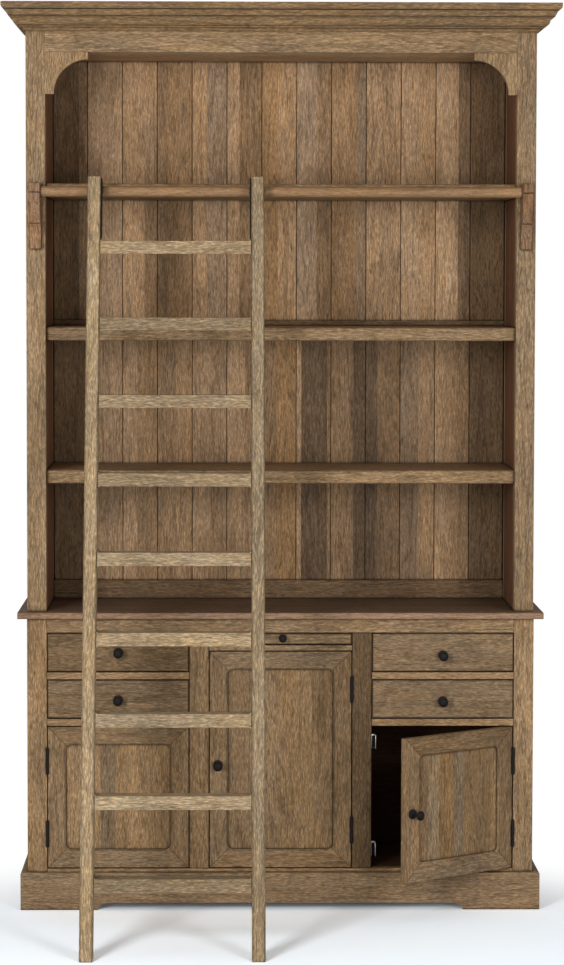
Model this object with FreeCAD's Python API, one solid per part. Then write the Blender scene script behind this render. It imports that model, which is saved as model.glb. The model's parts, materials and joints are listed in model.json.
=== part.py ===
import FreeCAD, Part
import math
import os

from FreeCAD import Vector

# Library bookcase: a hutch of open shelves stands on a base with four drawers, a pull-out tray
# and three doors, and a wooden ladder hooks over a pole across the front of the hutch.
# Lengths are millimetres.  +Z is up and -Y is the front.  While the pieces are made, y is zero on
# the hutch's front face and z is zero on the floor; at the end all move to the middle of the plan.

# Whole case
overall_height = 2400.0
case_width = 1346.0
case_depth = 371.5
back_thickness = 12.0
frame_thickness = 22.0
post_depth = 50.0
edge_softening = 2.0
overrun = 5.0
touch = 0.01

# Cornice moulding, from its top edge down
cornice_height = 73.5
cornice_projection = 61.0
cornice_fascia_height = 9.0
cornice_nose_radius = 9.0
cornice_band_height = 18.0
cornice_band_slope = 9.0
cornice_wave_size = 23.0
cornice_wave_bow = 2.6
cornice_bead_width = 6.0
cornice_bead_height = 5.0
cornice_bead_bow = 1.6
cornice_step = 6.0
cap_thickness = 22.0

# Hutch
hutch_post_width = 50.5
frieze_face_height = 54.0
ceiling_thickness = 22.0
spandrel_width = 114.0
spandrel_height = 110.0
spandrel_arch_radius = 91.0
shelf_count = 3
shelf_thickness = 35.0
shelf_setback = 21.0
shelf_housing = 6.0
lowest_shelf_height = 1170.0
shelf_pitch = 379.5
back_board_count = 13
back_board_chamfer = 2.6
back_tongue_reach = 5.0
back_tongue_thickness = 4.0
back_rail_height = 50.0
back_rail_thickness = 18.0
shelf_batten_height = 14.0
shelf_batten_thickness = 12.0

# Framed sides of the hutch and of the base
side_setback = 3.0
side_rail_thickness = 22.0
side_panel_thickness = 8.0
side_panel_seat = 8.0
lining_thickness = 12.0
hutch_side_rail_height = 90.0
base_side_rail_height = 90.0

# Pole, its brackets and its turning fit
pole_radius = 13.75
pole_height = 1906.0
pole_offset = 44.2
pole_gap = 0.3
pole_end_gap = 1.0
bracket_width = 28.8
bracket_edge_inset = 11.7
bracket_wall = 12.0
bracket_rise = 22.0
bracket_drop = 150.0
bracket_cap_height = 24.0
bracket_cap_step = 4.0
bracket_foot_height = 22.0
bracket_foot_reach = 20.0
bracket_belly_share = 0.64
bracket_belly_retreat = 22.0
bracket_belly_bow = 5.6
bracket_crease_depth = 4.0
bracket_hollow_bow = 6.0
bracket_socket_depth = 14.0

# Countertop
counter_height = 795.5
counter_thickness = 17.0
counter_front_overhang = 22.0
counter_side_overhang = 24.5

# Base
base_step = 18.0
base_post_width = 52.0
mullion_width = 52.0
centre_bay_width = 381.0
top_rail_height = 38.5
drawer_opening_height = 104.9
drawer_rail_height = 19.8
tray_opening_height = 32.5
tray_rail_height = 15.5
plinth_height = 99.5
plinth_thickness = 18.5
plinth_edge_radius = 4.0
plinth_cutout_height = 19.0
plinth_cutout_radius = 33.0
plinth_foot_width = 204.0
bottom_rail_height = 39.0
bottom_rail_show = 9.5
bottom_board_thickness = 18.0
partition_board_thickness = 16.0
dust_board_thickness = 12.0
kicker_width = 12.0

# Doors, drawer fronts and the gap round them
reveal = 1.7
front_thickness = 20.0
door_member_width = 49.0
door_corner_radius = 12.0
door_rout_width = 4.0
door_panel_thickness = 8.0
door_panel_recess = 8.0
door_panel_seat = 9.0
right_door_ajar_degrees = 38.0

# Drawer boxes and tray
drawer_side_gap = 1.0
drawer_bottom_gap = 0.3
drawer_side_thickness = 12.0
drawer_side_drop = 18.0
drawer_bottom_thickness = 6.0
drawer_bottom_rise = 8.0
drawer_bottom_seat = 6.0
drawer_back_room = 17.0
tray_board_thickness = 14.0

# Butt hinges
hinge_height = 71.0
hinge_forward = 3.0
hinge_leaf_thickness = 1.5
hinge_leaf_gap = 0.6
hinge_leaf_reach = 21.0
knuckle_radius = 4.0
knuckle_swing_gap = 0.4
knuckle_end_gap = 0.4
hinge_pin_radius = 2.0
hinge_pin_gap = 0.05
side_door_hinge_inset = 91.5
centre_door_hinge_inset = 101.0

# Knobs
knob_flat_count = 12
knob_rose_radius = 12.5
knob_rose_edge = 1.5
knob_rose_thickness = 4.0
knob_neck_radius = 4.6
knob_neck_length = 19.0
knob_flare_length = 7.0
knob_head_radius = 12.5
knob_rim_thickness = 4.0
knob_bevel_length = 3.0
knob_bevel_width = 4.0
knob_edge_inset = 22.0
centre_door_knob_drop = 14.0
side_door_knob_drop = 9.0
left_upper_knob_shift = 1.0
left_lower_knob_drop = 2.0
right_upper_knob_drop = 7.5
right_lower_knob_drop = 5.5
tray_knob_shift = 5.5
tray_knob_rise = 2.5
tray_knob_size_share = 0.8

# Magnetic catches
catch_width = 13.0
catch_depth = 26.0
catch_height = 36.0
catch_gap = 0.4
catch_end_inset = 44.5

# Ladder
ladder_centre = -276.0
ladder_width = 460.0
ladder_lean_share = 0.3
ladder_rise_above_pole = 40.0
stile_width = 34.0
stile_depth = 50.0
stile_edge_width = 2.5
stile_top_radius = 8.0
rung_height = 32.5
rung_pitch = 197.6
rung_first_drop = 170.5
rung_least_height = 150.0
rung_shoulder = 5.0
rung_setback = 1.5
hook_thickness = 3.5
hook_bar_width = 9.0
hook_plate_front_inset = 10.0
hook_plate_back_inset = 3.0
hook_rung_gap = 2.0
hook_top_inset = 2.5
hook_tip_drop = 9.0

# Levels and faces that follow from those
case_half = case_width / 2
case_back = case_depth
back_face = case_back - back_thickness
back_post_front = case_back - post_depth
hutch_half = case_half - hutch_post_width
cap_underside = overall_height - cap_thickness
opening_top = overall_height - cornice_height - frieze_face_height
base_front = -base_step
base_frame_back = base_front + frame_thickness
base_post_back = base_front + post_depth
base_half = case_half - base_post_width
base_top = counter_height - counter_thickness
mullion_inner = centre_bay_width / 2
mullion_outer = mullion_inner + mullion_width
top_rail_underside = base_top - top_rail_height
upper_drawer_floor = top_rail_underside - drawer_opening_height
lower_drawer_ceiling = upper_drawer_floor - drawer_rail_height
lower_drawer_floor = lower_drawer_ceiling - drawer_opening_height
side_door_head = lower_drawer_floor - drawer_rail_height
tray_floor = top_rail_underside - tray_opening_height
centre_door_head = tray_floor - tray_rail_height
door_sill = plinth_height + bottom_rail_show
front_back_face = base_front + front_thickness
hinge_y = base_front - hinge_forward
bracket_outer = case_half - bracket_edge_inset
bracket_inner = bracket_outer - bracket_width
lean_angle = math.atan(ladder_lean_share)
lean_cosine = math.cos(lean_angle)
stile_run = stile_depth / lean_cosine
stile_length = (pole_height + ladder_rise_above_pole) / lean_cosine
ladder_front_at_pole = -pole_offset - (pole_radius + pole_gap) / lean_cosine - stile_run
ladder_front_at_floor = ladder_front_at_pole - ladder_lean_share * pole_height
ladder_left = ladder_centre - ladder_width / 2
ladder_right = ladder_centre + ladder_width / 2
rung_first_height = pole_height + ladder_rise_above_pole - rung_first_drop
rung_count = 1 + int((rung_first_height - rung_least_height) / rung_pitch)
side_bay_centre = (mullion_outer + base_half) / 2

nodes = {}


def block(x_low, x_high, y_low, y_high, z_low, z_high):
    """Upright block between two corners."""
    size = Vector(x_high - x_low, y_high - y_low, z_high - z_low)
    return Part.makeBox(size.x, size.y, size.z, Vector(x_low, y_low, z_low))


def upright_cylinder(radius, x, y, z_low, z_high):
    """Cylinder that stands on z_low."""
    return Part.makeCylinder(radius, z_high - z_low, Vector(x, y, z_low))


def cross_cylinder(radius, x_low, x_high, y, z):
    """Cylinder that lies across the case."""
    return Part.makeCylinder(radius, x_high - x_low, Vector(x_low, y, z), Vector(1, 0, 0))


def in_side_view(y, z):
    """Point of an outline drawn from the side."""
    return Vector(0, y, z)


def in_front_view(x, z):
    """Point of an outline drawn from the front."""
    return Vector(x, 0, z)


def in_plan(x, y):
    """Point of an outline drawn from above."""
    return Vector(x, y, 0)


def outline(view, start, *steps):
    """Face from a start point and steps; a step of two points is an arc through the first of them."""
    edges = []
    here = start
    for step in steps:
        if isinstance(step[0], tuple):
            middle, there = step
            edges.append(Part.Arc(view(*here), view(*middle), view(*there)).toShape())
        else:
            there = step
            edges.append(Part.makeLine(view(*here), view(*there)))
        here = there
    edges.append(Part.makeLine(view(*here), view(*start)))
    return Part.Face(Part.Wire(edges))


def on_circle(centre, radius, degrees):
    """Point of a circle in an outline's own plane."""
    angle = math.radians(degrees)
    return (centre[0] + radius * math.cos(angle), centre[1] + radius * math.sin(angle))


def bowed(start, end, bow):
    """Arc step from start to end whose middle stands off the chord, to the left of the way."""
    across = end[0] - start[0]
    along = end[1] - start[1]
    chord = math.hypot(across, along)
    middle = ((start[0] + end[0]) / 2 - along * bow / chord, (start[1] + end[1]) / 2 + across * bow / chord)
    return (middle, end)


def carried_across(face, x_low, x_high):
    """Solid that carries a side-view outline from one x to another."""
    return face.translated(Vector(x_low, 0, 0)).extrude(Vector(x_high - x_low, 0, 0))


def carried_back(face, y_low, y_high):
    """Solid that carries a front-view outline from one y to another."""
    return face.translated(Vector(0, y_low, 0)).extrude(Vector(0, y_high - y_low, 0))


def carried_up(face, z_low, z_high):
    """Solid that carries a plan outline from one z to another."""
    return face.translated(Vector(0, 0, z_low)).extrude(Vector(0, 0, z_high - z_low))


def edges_within(solid, x_low, x_high, y_low, y_high, z_low, z_high):
    """Edges that lie wholly inside a region."""
    region = FreeCAD.BoundBox(x_low, y_low, z_low, x_high, y_high, z_high)
    region.enlarge(touch)
    return [edge for edge in solid.Edges if region.isInside(edge.BoundBox)]


def mirrored(solid):
    """The same solid on the other side of the case."""
    return solid.mirror(Vector(0, 0, 0), Vector(1, 0, 0))


def with_mirrors(solids):
    """Solids of the right side and their images on the left side."""
    return solids + [mirrored(solid) for solid in solids]


def soft_front(solid, x_low, x_high, y_front, z_low, z_high):
    """Solid with the edges round its front face eased."""
    edges = edges_within(solid, x_low, x_high, y_front, y_front, z_low, z_high)
    return solid.makeChamfer(edge_softening, edges)


# Framed sides

def side_rails(levels, y_low, y_high):
    """Rails of the right side between its posts, one for each pair of levels."""
    outer = case_half - side_setback
    inner = outer - side_rail_thickness
    return [block(inner, outer, y_low, y_high, low, high) for low, high in levels]


def side_panels(levels, y_low, y_high):
    """Panels of the right side, let into the rails and posts round them."""
    middle = case_half - side_setback - side_rail_thickness / 2
    inner = middle - side_panel_thickness / 2
    outer = middle + side_panel_thickness / 2
    front = y_low - side_panel_seat
    back = y_high + side_panel_seat
    panels = []
    for lower_rail, upper_rail in zip(levels, levels[1:]):
        bottom = lower_rail[1] - side_panel_seat
        top = upper_rail[0] + side_panel_seat
        panels.append(block(inner, outer, front, back, bottom, top))
    return panels


def grooved(solids, panels):
    """Solids with the seats of the panels cut in them."""
    return [solid.cut(panels) for solid in solids]


# Hutch

def hutch_side_levels():
    """Bottom, middle and top rail of a hutch side."""
    bottom = (counter_height, counter_height + hutch_side_rail_height)
    top = (cap_underside - frieze_face_height - hutch_side_rail_height, cap_underside)
    middle = (bottom[1] + top[0]) / 2
    half = hutch_side_rail_height / 2
    return [bottom, (middle - half, middle + half), top]


def shelf_tops():
    """Heights of the shelves' upper faces, lowest first."""
    return [lowest_shelf_height + shelf_pitch * index for index in range(shelf_count)]


def hutch_shelf(top):
    """Shelf with softened front edges and a tongue at each end between the posts."""
    bottom = top - shelf_thickness
    board = block(-hutch_half, hutch_half, shelf_setback, back_face, bottom, top)
    edges = edges_within(board, -hutch_half, hutch_half, shelf_setback, shelf_setback, top, top)
    edges += edges_within(board, -hutch_half, hutch_half, shelf_setback, shelf_setback, bottom, bottom)
    board = board.makeChamfer(edge_softening, edges)
    reach = hutch_half + shelf_housing
    return board.fuse(block(-reach, reach, post_depth, back_post_front, bottom, top)).removeSplitter()


def hutch_posts(panels):
    """Four corner posts grooved for the side panels."""
    front = block(hutch_half, case_half, 0, post_depth, counter_height, cap_underside)
    back = block(hutch_half, case_half, back_post_front, case_back, counter_height, cap_underside)
    return with_mirrors(grooved([front, back], panels))


def hutch_lining(shelves):
    """Inner board of the right side, flush with the posts and housed for the shelves."""
    outer = hutch_half + lining_thickness
    board = block(hutch_half, outer, post_depth, back_post_front, counter_height, cap_underside)
    return board.cut(shelves)


def arch_spandrel():
    """Corner piece under the frieze whose lower edge is a quarter circle."""
    inner = hutch_half - spandrel_width
    bottom = opening_top - spandrel_height
    centre = (inner, bottom)
    arch_top = on_circle(centre, spandrel_arch_radius, 90)
    arch_middle = on_circle(centre, spandrel_arch_radius, 45)
    arch_end = on_circle(centre, spandrel_arch_radius, 0)
    corner = (hutch_half, opening_top)
    steps = [(inner, opening_top), arch_top, (arch_middle, arch_end), (hutch_half, bottom)]
    return carried_back(outline(in_front_view, corner, *steps), 0, frame_thickness)


def cornice_steps():
    """Cornice outline as reach beyond the case and height, from its top inner corner."""
    top = overall_height
    fascia_foot = (cornice_projection, top - cornice_fascia_height)
    nose_centre = (cornice_projection - cornice_nose_radius, fascia_foot[1])
    nose_foot = on_circle(nose_centre, cornice_nose_radius, -90)
    band_foot = (nose_foot[0] - cornice_band_slope, nose_foot[1] - cornice_band_height)
    half_wave = cornice_wave_size / 2
    wave_middle = (band_foot[0] - half_wave, band_foot[1] - half_wave)
    wave_foot = (band_foot[0] - cornice_wave_size, band_foot[1] - cornice_wave_size)
    bead_foot = (wave_foot[0] - cornice_bead_width, wave_foot[1] - cornice_bead_height)
    step_foot = (bead_foot[0] - cornice_step, bead_foot[1])
    return [
        (0, top),
        (cornice_projection, top),
        fascia_foot,
        (on_circle(nose_centre, cornice_nose_radius, -45), nose_foot),
        band_foot,
        bowed(band_foot, wave_middle, -cornice_wave_bow),
        bowed(wave_middle, wave_foot, cornice_wave_bow),
        bowed(wave_foot, bead_foot, cornice_bead_bow),
        step_foot,
        bowed(step_foot, (0, top - cornice_height), cornice_bead_bow),
    ]


def plinth_steps():
    """Plinth outline as reach beyond the base and height, with a rounded upper edge."""
    centre = (plinth_thickness - plinth_edge_radius, plinth_height - plinth_edge_radius)
    round_end = on_circle(centre, plinth_edge_radius, 90)
    return [
        (0, 0),
        (plinth_thickness, 0),
        on_circle(centre, plinth_edge_radius, 0),
        (on_circle(centre, plinth_edge_radius, 45), round_end),
        (0, plinth_height),
    ]


def mitred_lengths(steps, front, reach):
    """Front, right and left length of a moulding that runs round the case, mitred at the corners."""
    side = case_half + reach
    front_face = outline(lambda out, z: Vector(0, front - out, z), *steps)
    right_face = outline(lambda out, z: Vector(case_half + out, 0, z), *steps)
    front_plan = outline(
        in_plan, (-side, front - reach), (side, front - reach), (case_half, front), (-case_half, front)
    )
    right_plan = outline(
        in_plan, (side, front - reach), (side, case_back), (case_half, case_back), (case_half, front)
    )
    front_length = carried_across(front_face, -side, side).common(carried_up(front_plan, 0, overall_height))
    right_length = carried_back(right_face, front - reach, case_back)
    right_length = right_length.common(carried_up(right_plan, 0, overall_height))
    return [front_length, right_length, mirrored(right_length)]


def back_board(index):
    """Tongued and grooved board with chamfered front edges, in its place across the back."""
    pitch = hutch_half / back_board_count * 2
    left = -hutch_half + pitch * index
    right = left + pitch
    chamfer_back = back_face + back_board_chamfer
    seat_front = (back_face + case_back - back_tongue_thickness) / 2
    seat_back = seat_front + back_tongue_thickness
    points = [(left + back_board_chamfer, back_face), (right - back_board_chamfer, back_face)]
    points.append((right, chamfer_back))
    if index < back_board_count - 1:
        tongue_end = right + back_tongue_reach
        points += [(right, seat_front), (tongue_end, seat_front), (tongue_end, seat_back), (right, seat_back)]
    points += [(right, case_back), (left, case_back)]
    if index > 0:
        seat_end = left + back_tongue_reach
        points += [(left, seat_back), (seat_end, seat_back), (seat_end, seat_front), (left, seat_front)]
    points.append((left, chamfer_back))
    return carried_up(outline(in_plan, *points), counter_height, cap_underside)


def back_strip(bottom, height, thickness):
    """Strip across the hutch in front of the back boards."""
    return block(-hutch_half, hutch_half, back_face - thickness, back_face, bottom, bottom + height)


# Pole and brackets

def rail_bracket():
    """Corbel on the right post: cap, belly, crease, hollow and foot, with a blind socket for the pole."""
    top = pole_height + bracket_rise
    bottom = pole_height - bracket_drop
    reach = pole_offset + pole_radius + bracket_wall
    neck = (reach - bracket_cap_step, top - bracket_cap_height)
    foot = (bracket_foot_reach, bottom + bracket_foot_height)
    belly_foot = (neck[0] - bracket_belly_retreat, neck[1] - (neck[1] - foot[1]) * bracket_belly_share)
    crease = (belly_foot[0] - bracket_crease_depth, belly_foot[1])
    steps = [(0, top), (reach, top), (reach, neck[1]), neck]
    steps += [bowed(neck, belly_foot, bracket_belly_bow), crease, bowed(crease, foot, -bracket_hollow_bow)]
    steps += [(bracket_foot_reach, bottom), (0, bottom)]
    body = carried_across(outline(lambda out, z: Vector(0, -out, z), *steps), bracket_inner, bracket_outer)
    socket_end = bracket_inner + bracket_socket_depth
    socket_start = bracket_inner - overrun
    socket = cross_cylinder(pole_radius + pole_gap, socket_start, socket_end, -pole_offset, pole_height)
    return body.cut(socket)


def ladder_pole():
    """Round pole whose ends turn in the bracket sockets."""
    half = bracket_inner + bracket_socket_depth - pole_end_gap
    return cross_cylinder(pole_radius, -half, half, -pole_offset, pole_height)


# Base

def base_side_levels():
    """Bottom and top rail of a base side."""
    bottom = plinth_height - bottom_board_thickness
    return [(bottom, bottom + base_side_rail_height), (base_top - base_side_rail_height, base_top)]


def base_posts(panels, housings):
    """Four corner posts, grooved for the side panels and let in for the hinges."""
    front = block(base_half, case_half, base_front, base_post_back, 0, base_top)
    back = block(base_half, case_half, back_post_front, case_back, 0, base_top)
    return [post.cut(housings) for post in with_mirrors(grooved([front, back], panels))]


def base_mullions(housings):
    """Uprights between the bays, let in for the centre door's hinges."""
    right = block(mullion_inner, mullion_outer, base_front, base_frame_back, door_sill, top_rail_underside)
    return [mullion.cut(housings) for mullion in with_mirrors([right])]


def base_rails():
    """Front rails: top, bottom, two in each side bay and one under the tray."""
    sill_bottom = door_sill - bottom_rail_height
    front, back = base_front, base_frame_back
    rails = [block(-base_half, base_half, front, back, top_rail_underside, base_top)]
    rails.append(block(-base_half, base_half, front, back, sill_bottom, door_sill))
    rails.append(block(-mullion_inner, mullion_inner, front, back, centre_door_head, tray_floor))
    upper = block(mullion_outer, base_half, front, back, lower_drawer_ceiling, upper_drawer_floor)
    lower = block(mullion_outer, base_half, front, back, side_door_head, lower_drawer_floor)
    return rails + with_mirrors([upper, lower])


def base_linings():
    """Inner boards of the base sides, flush with the posts."""
    outer = base_half + lining_thickness
    bottom = door_sill - bottom_board_thickness
    return with_mirrors([block(base_half, outer, base_post_back, back_post_front, bottom, base_top)])


def base_partitions():
    """Two boards behind each mullion, flush with its faces."""
    boards = []
    for low, high in (
        (mullion_inner, mullion_inner + partition_board_thickness),
        (mullion_outer - partition_board_thickness, mullion_outer),
    ):
        boards.append(block(low, high, base_frame_back, back_face, door_sill, base_top))
    return with_mirrors(boards)


def drawer_supports():
    """Dust boards under the drawers and tray, and the strips that keep the tray level."""
    supports = []
    for level in (upper_drawer_floor, lower_drawer_floor):
        bottom = level - dust_board_thickness
        supports.append(block(mullion_outer, base_half, base_frame_back, back_face, bottom, level))
    kicker_bottom = tray_floor + tray_board_thickness + drawer_bottom_gap * 2
    kicker_inner = mullion_inner - kicker_width
    supports.append(
        block(kicker_inner, mullion_inner, base_frame_back, back_face, kicker_bottom, top_rail_underside)
    )
    supports = with_mirrors(supports)
    bottom = tray_floor - dust_board_thickness
    supports.append(block(-mullion_inner, mullion_inner, base_frame_back, back_face, bottom, tray_floor))
    return supports


def plinth_lengths():
    """Front and side plinth boards; the front is cut away between its feet."""
    front, right, left = mitred_lengths(plinth_steps(), base_front, plinth_thickness)
    foot_end = case_half + plinth_thickness - plinth_foot_width
    rise = plinth_cutout_radius - plinth_cutout_height
    arc_inset = math.sqrt(plinth_cutout_radius ** 2 - rise ** 2)
    centre = (foot_end - arc_inset, -rise)
    turn = math.degrees(math.asin(rise / plinth_cutout_radius))
    crown = on_circle(centre, plinth_cutout_radius, 90)
    middle = on_circle(centre, plinth_cutout_radius, (90 + turn) / 2)
    below = -overrun
    cutter = outline(
        in_front_view,
        (foot_end, 0),
        (middle, crown),
        (-crown[0], crown[1]),
        ((-middle[0], middle[1]), (-foot_end, 0)),
        (-foot_end, below),
        (foot_end, below),
    )
    cutter = carried_back(cutter, base_front - plinth_thickness - overrun, base_front + overrun)
    return [front.cut(cutter), right, left]


# Hinges

def hinge_levels(low, high, inset):
    """Heights of the hinge middles of a door between two edges."""
    return [low + inset, high - inset]


def hinge_housing(axis_x, middle):
    """Room cut in a post and in a door edge for one hinge."""
    low = middle - hinge_height / 2
    high = middle + hinge_height / 2
    half = hinge_leaf_gap / 2 + hinge_leaf_thickness
    seat = block(axis_x - half, axis_x + half, base_front - overrun, hinge_y + hinge_leaf_reach, low, high)
    room = upright_cylinder(knuckle_radius + knuckle_swing_gap, axis_x, hinge_y, low, high)
    return seat.fuse(room)


def hinge_leaf(axis_x, middle, side, thirds):
    """Leaf plate on one side of the axis with its own knuckles."""
    low = middle - hinge_height / 2
    high = middle + hinge_height / 2
    near = axis_x + side * hinge_leaf_gap / 2
    far = near + side * hinge_leaf_thickness
    x_low, x_high = min(near, far), max(near, far)
    plate_front = hinge_y + knuckle_radius + knuckle_swing_gap
    pieces = [block(x_low, x_high, plate_front, hinge_y + hinge_leaf_reach, low, high)]
    for third in thirds:
        bottom = low + hinge_height * third / 3 + knuckle_end_gap / 2
        top = low + hinge_height * (third + 1) / 3 - knuckle_end_gap / 2
        pieces.append(block(x_low, x_high, hinge_y, plate_front, bottom, top))
        pieces.append(upright_cylinder(knuckle_radius, axis_x, hinge_y, bottom, top))
    return pieces


def frame_leaf(axis_x, middle, side):
    """Hinge half on the case: two outer knuckles and the pin that they hold."""
    pieces = hinge_leaf(axis_x, middle, side, (0, 2))
    half = hinge_height / 2 - knuckle_end_gap
    pin = upright_cylinder(hinge_pin_radius, axis_x, hinge_y, middle - half, middle + half)
    return pin.fuse(pieces).removeSplitter()


def door_leaf(axis_x, middle, side):
    """Hinge half on the door, with the middle knuckle bored to turn on the pin."""
    pieces = hinge_leaf(axis_x, middle, side, (1,))
    half = hinge_height / 2
    bore = upright_cylinder(hinge_pin_radius + hinge_pin_gap, axis_x, hinge_y, middle - half, middle + half)
    return pieces[0].fuse(pieces[1:]).cut(bore).removeSplitter()


# Knob

def knob(x, z, size_share=1):
    """Forged iron knob with flats all round, whose rose sits on a front face at x and z."""
    neck_end = knob_rose_thickness + knob_neck_length
    flare_end = neck_end + knob_flare_length
    rim_end = flare_end + knob_rim_thickness
    stations = [
        (0, knob_rose_radius),
        (knob_rose_edge, knob_rose_radius),
        (knob_rose_thickness, knob_neck_radius),
        (neck_end, knob_neck_radius),
        (flare_end, knob_head_radius),
        (rim_end, knob_head_radius),
        (rim_end + knob_bevel_length, knob_head_radius - knob_bevel_width),
    ]
    rings = [knob_ring(out * size_share, radius * size_share) for out, radius in stations]
    faces = [Part.Face(Part.makePolygon(ring)) for ring in (rings[0], rings[-1])]
    for near, far in zip(rings, rings[1:]):
        for index in range(knob_flat_count):
            corners = [near[index], near[index + 1], far[index + 1], far[index], near[index]]
            faces.append(Part.Face(Part.makePolygon(corners)))
    return Part.Solid(Part.Shell(faces)).translated(Vector(x, base_front, z))


def knob_ring(out, radius):
    """Corners of the knob's flats at one distance from the front it sits on, the first twice."""
    step = 360 / knob_flat_count
    corners = [on_circle((0, 0), radius, step * index) for index in range(knob_flat_count)]
    ring = [Vector(across, -out, up) for across, up in corners]
    return ring + ring[:1]


# Doors

def door_frame(x_low, x_high, z_low, z_high, housings):
    """Four mitred members round a rounded opening, routed in front and grooved for the panel."""
    left, right = x_low + door_member_width, x_high - door_member_width
    bottom, top = z_low + door_member_width, z_high - door_member_width
    cut_front, cut_back = base_front - overrun, front_back_face + overrun
    opening = block(left, right, cut_front, cut_back, bottom, top)
    corners = [edge for edge in opening.Edges if edge.BoundBox.YLength > front_thickness]
    opening = opening.makeFillet(door_corner_radius, corners)
    blank = block(x_low, x_high, base_front, front_back_face, z_low, z_high).cut(opening)
    routed = edges_within(blank, left, right, base_front, base_front, bottom, top)
    blank = blank.makeChamfer(door_rout_width, routed)
    blank = blank.cut([door_panel(x_low, x_high, z_low, z_high)] + housings)
    inset = door_member_width + door_corner_radius
    far_left, far_right = x_low + inset, x_high - inset
    low_in, high_in = z_low + inset, z_high - inset
    members = [
        [(x_low, z_low), (far_left, low_in), (far_left, high_in), (x_low, z_high)],
        [(x_high, z_high), (far_right, high_in), (far_right, low_in), (x_high, z_low)],
        [(x_low, z_high), (far_left, high_in), (far_right, high_in), (x_high, z_high)],
        [(x_high, z_low), (far_right, low_in), (far_left, low_in), (x_low, z_low)],
    ]
    faces = [outline(in_front_view, *corners) for corners in members]
    return [blank.common(carried_back(face, cut_front, cut_back)) for face in faces]


def door_panel(x_low, x_high, z_low, z_high):
    """Flat panel of joined boards, seated in the frame's groove."""
    inset = door_member_width - door_panel_seat
    front = base_front + door_panel_recess
    back = front + door_panel_thickness
    return block(x_low + inset, x_high - inset, front, back, z_low + inset, z_high - inset)


def make_door(name, bay_low, bay_high, head, hinge_side, hinge_inset, knob_height, turn_degrees):
    """Add one door's nodes and return its hinge housings and the hinge halves on the case."""
    x_low, x_high = bay_low + reveal, bay_high - reveal
    z_low, z_high = door_sill + reveal, head - reveal
    axis_x = bay_low + reveal / 2 if hinge_side < 0 else bay_high - reveal / 2
    knob_x = x_high - knob_edge_inset if hinge_side < 0 else x_low + knob_edge_inset
    levels = hinge_levels(z_low, z_high, hinge_inset)
    housings = [hinge_housing(axis_x, level) for level in levels]
    pieces = {
        "frame": door_frame(x_low, x_high, z_low, z_high, housings),
        "panel": [door_panel(x_low, x_high, z_low, z_high)],
        "knob": [knob(knob_x, knob_height)],
        "hinge_leaves": [door_leaf(axis_x, level, -hinge_side) for level in levels],
    }
    for piece, solids in pieces.items():
        turned = [solid.rotated(Vector(axis_x, hinge_y, 0), Vector(0, 0, 1), turn_degrees) for solid in solids]
        nodes[name + "_" + piece] = turned
    return housings, [frame_leaf(axis_x, level, hinge_side) for level in levels]


def door_catches():
    """Two catches beside the free edge of each door, on the bay's wall just behind the door."""
    places = [
        (-mullion_outer - catch_width, side_door_head),
        (-mullion_inner, centre_door_head),
        (mullion_outer, side_door_head),
    ]
    front = front_back_face + catch_gap
    catches = []
    for x_low, head in places:
        for middle in hinge_levels(door_sill + reveal, head - reveal, catch_end_inset):
            low = middle - catch_height / 2
            high = middle + catch_height / 2
            catches.append(block(x_low, x_low + catch_width, front, front + catch_depth, low, high))
    return catches


# Drawers and tray

def slab_front(x_low, x_high, z_low, z_high):
    """Plain front with softened edges that fills its opening but for the reveal."""
    left, right = x_low + reveal, x_high - reveal
    bottom, top = z_low + reveal, z_high - reveal
    slab = block(left, right, base_front, front_back_face, bottom, top)
    return soft_front(slab, left, right, base_front, bottom, top)


def drawer_box(x_low, x_high, z_low, z_high):
    """Two sides, a back and a bottom let into the sides, behind a drawer front."""
    left, right = x_low + drawer_side_gap, x_high - drawer_side_gap
    inner_left, inner_right = left + drawer_side_thickness, right - drawer_side_thickness
    low, high = z_low + drawer_bottom_gap, z_high - drawer_side_drop
    front, back = front_back_face, back_face - drawer_back_room
    floor = low + drawer_bottom_rise
    floor_top = floor + drawer_bottom_thickness
    bottom = block(
        inner_left - drawer_bottom_seat, inner_right + drawer_bottom_seat, front, back, floor, floor_top
    )
    left_side = block(left, inner_left, front, back, low, high).cut(bottom)
    right_side = block(inner_right, right, front, back, low, high).cut(bottom)
    rear = block(inner_left, inner_right, back - drawer_side_thickness, back, floor_top, high)
    return [left_side, right_side, rear, bottom]


def make_drawer(name, x_low, x_high, z_low, z_high, knob_x, knob_drop=0):
    """Add one drawer's front, box and knob."""
    nodes[name + "_front"] = [slab_front(x_low, x_high, z_low, z_high)]
    nodes[name + "_box"] = drawer_box(x_low, x_high, z_low, z_high)
    nodes[name + "_knob"] = [knob(knob_x, (z_low + z_high) / 2 - knob_drop)]


def make_tray():
    """Add the pull-out tray over the centre door."""
    half = mullion_inner - drawer_side_gap
    bottom = tray_floor + drawer_bottom_gap
    back = back_face - drawer_back_room
    nodes["tray_front"] = [slab_front(-mullion_inner, mullion_inner, tray_floor, top_rail_underside)]
    nodes["tray_board"] = [block(-half, half, front_back_face, back, bottom, bottom + tray_board_thickness)]
    knob_height = (tray_floor + top_rail_underside) / 2 + tray_knob_rise
    nodes["tray_knob"] = [knob(tray_knob_shift, knob_height, tray_knob_size_share)]


# Ladder

def ladder_slab(front_inset, back_inset, x_low, x_high, z_low, z_high):
    """Slanting slab between two levels, inset from the front and back faces of the ladder's stiles."""
    near = front_inset / lean_cosine
    far = stile_run - back_inset / lean_cosine
    low = ladder_front_at_floor + ladder_lean_share * z_low
    high = ladder_front_at_floor + ladder_lean_share * z_high
    corners = [(low + near, z_low), (low + far, z_low), (high + far, z_high), (high + near, z_high)]
    return carried_across(outline(in_side_view, *corners), x_low, x_high)


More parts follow.
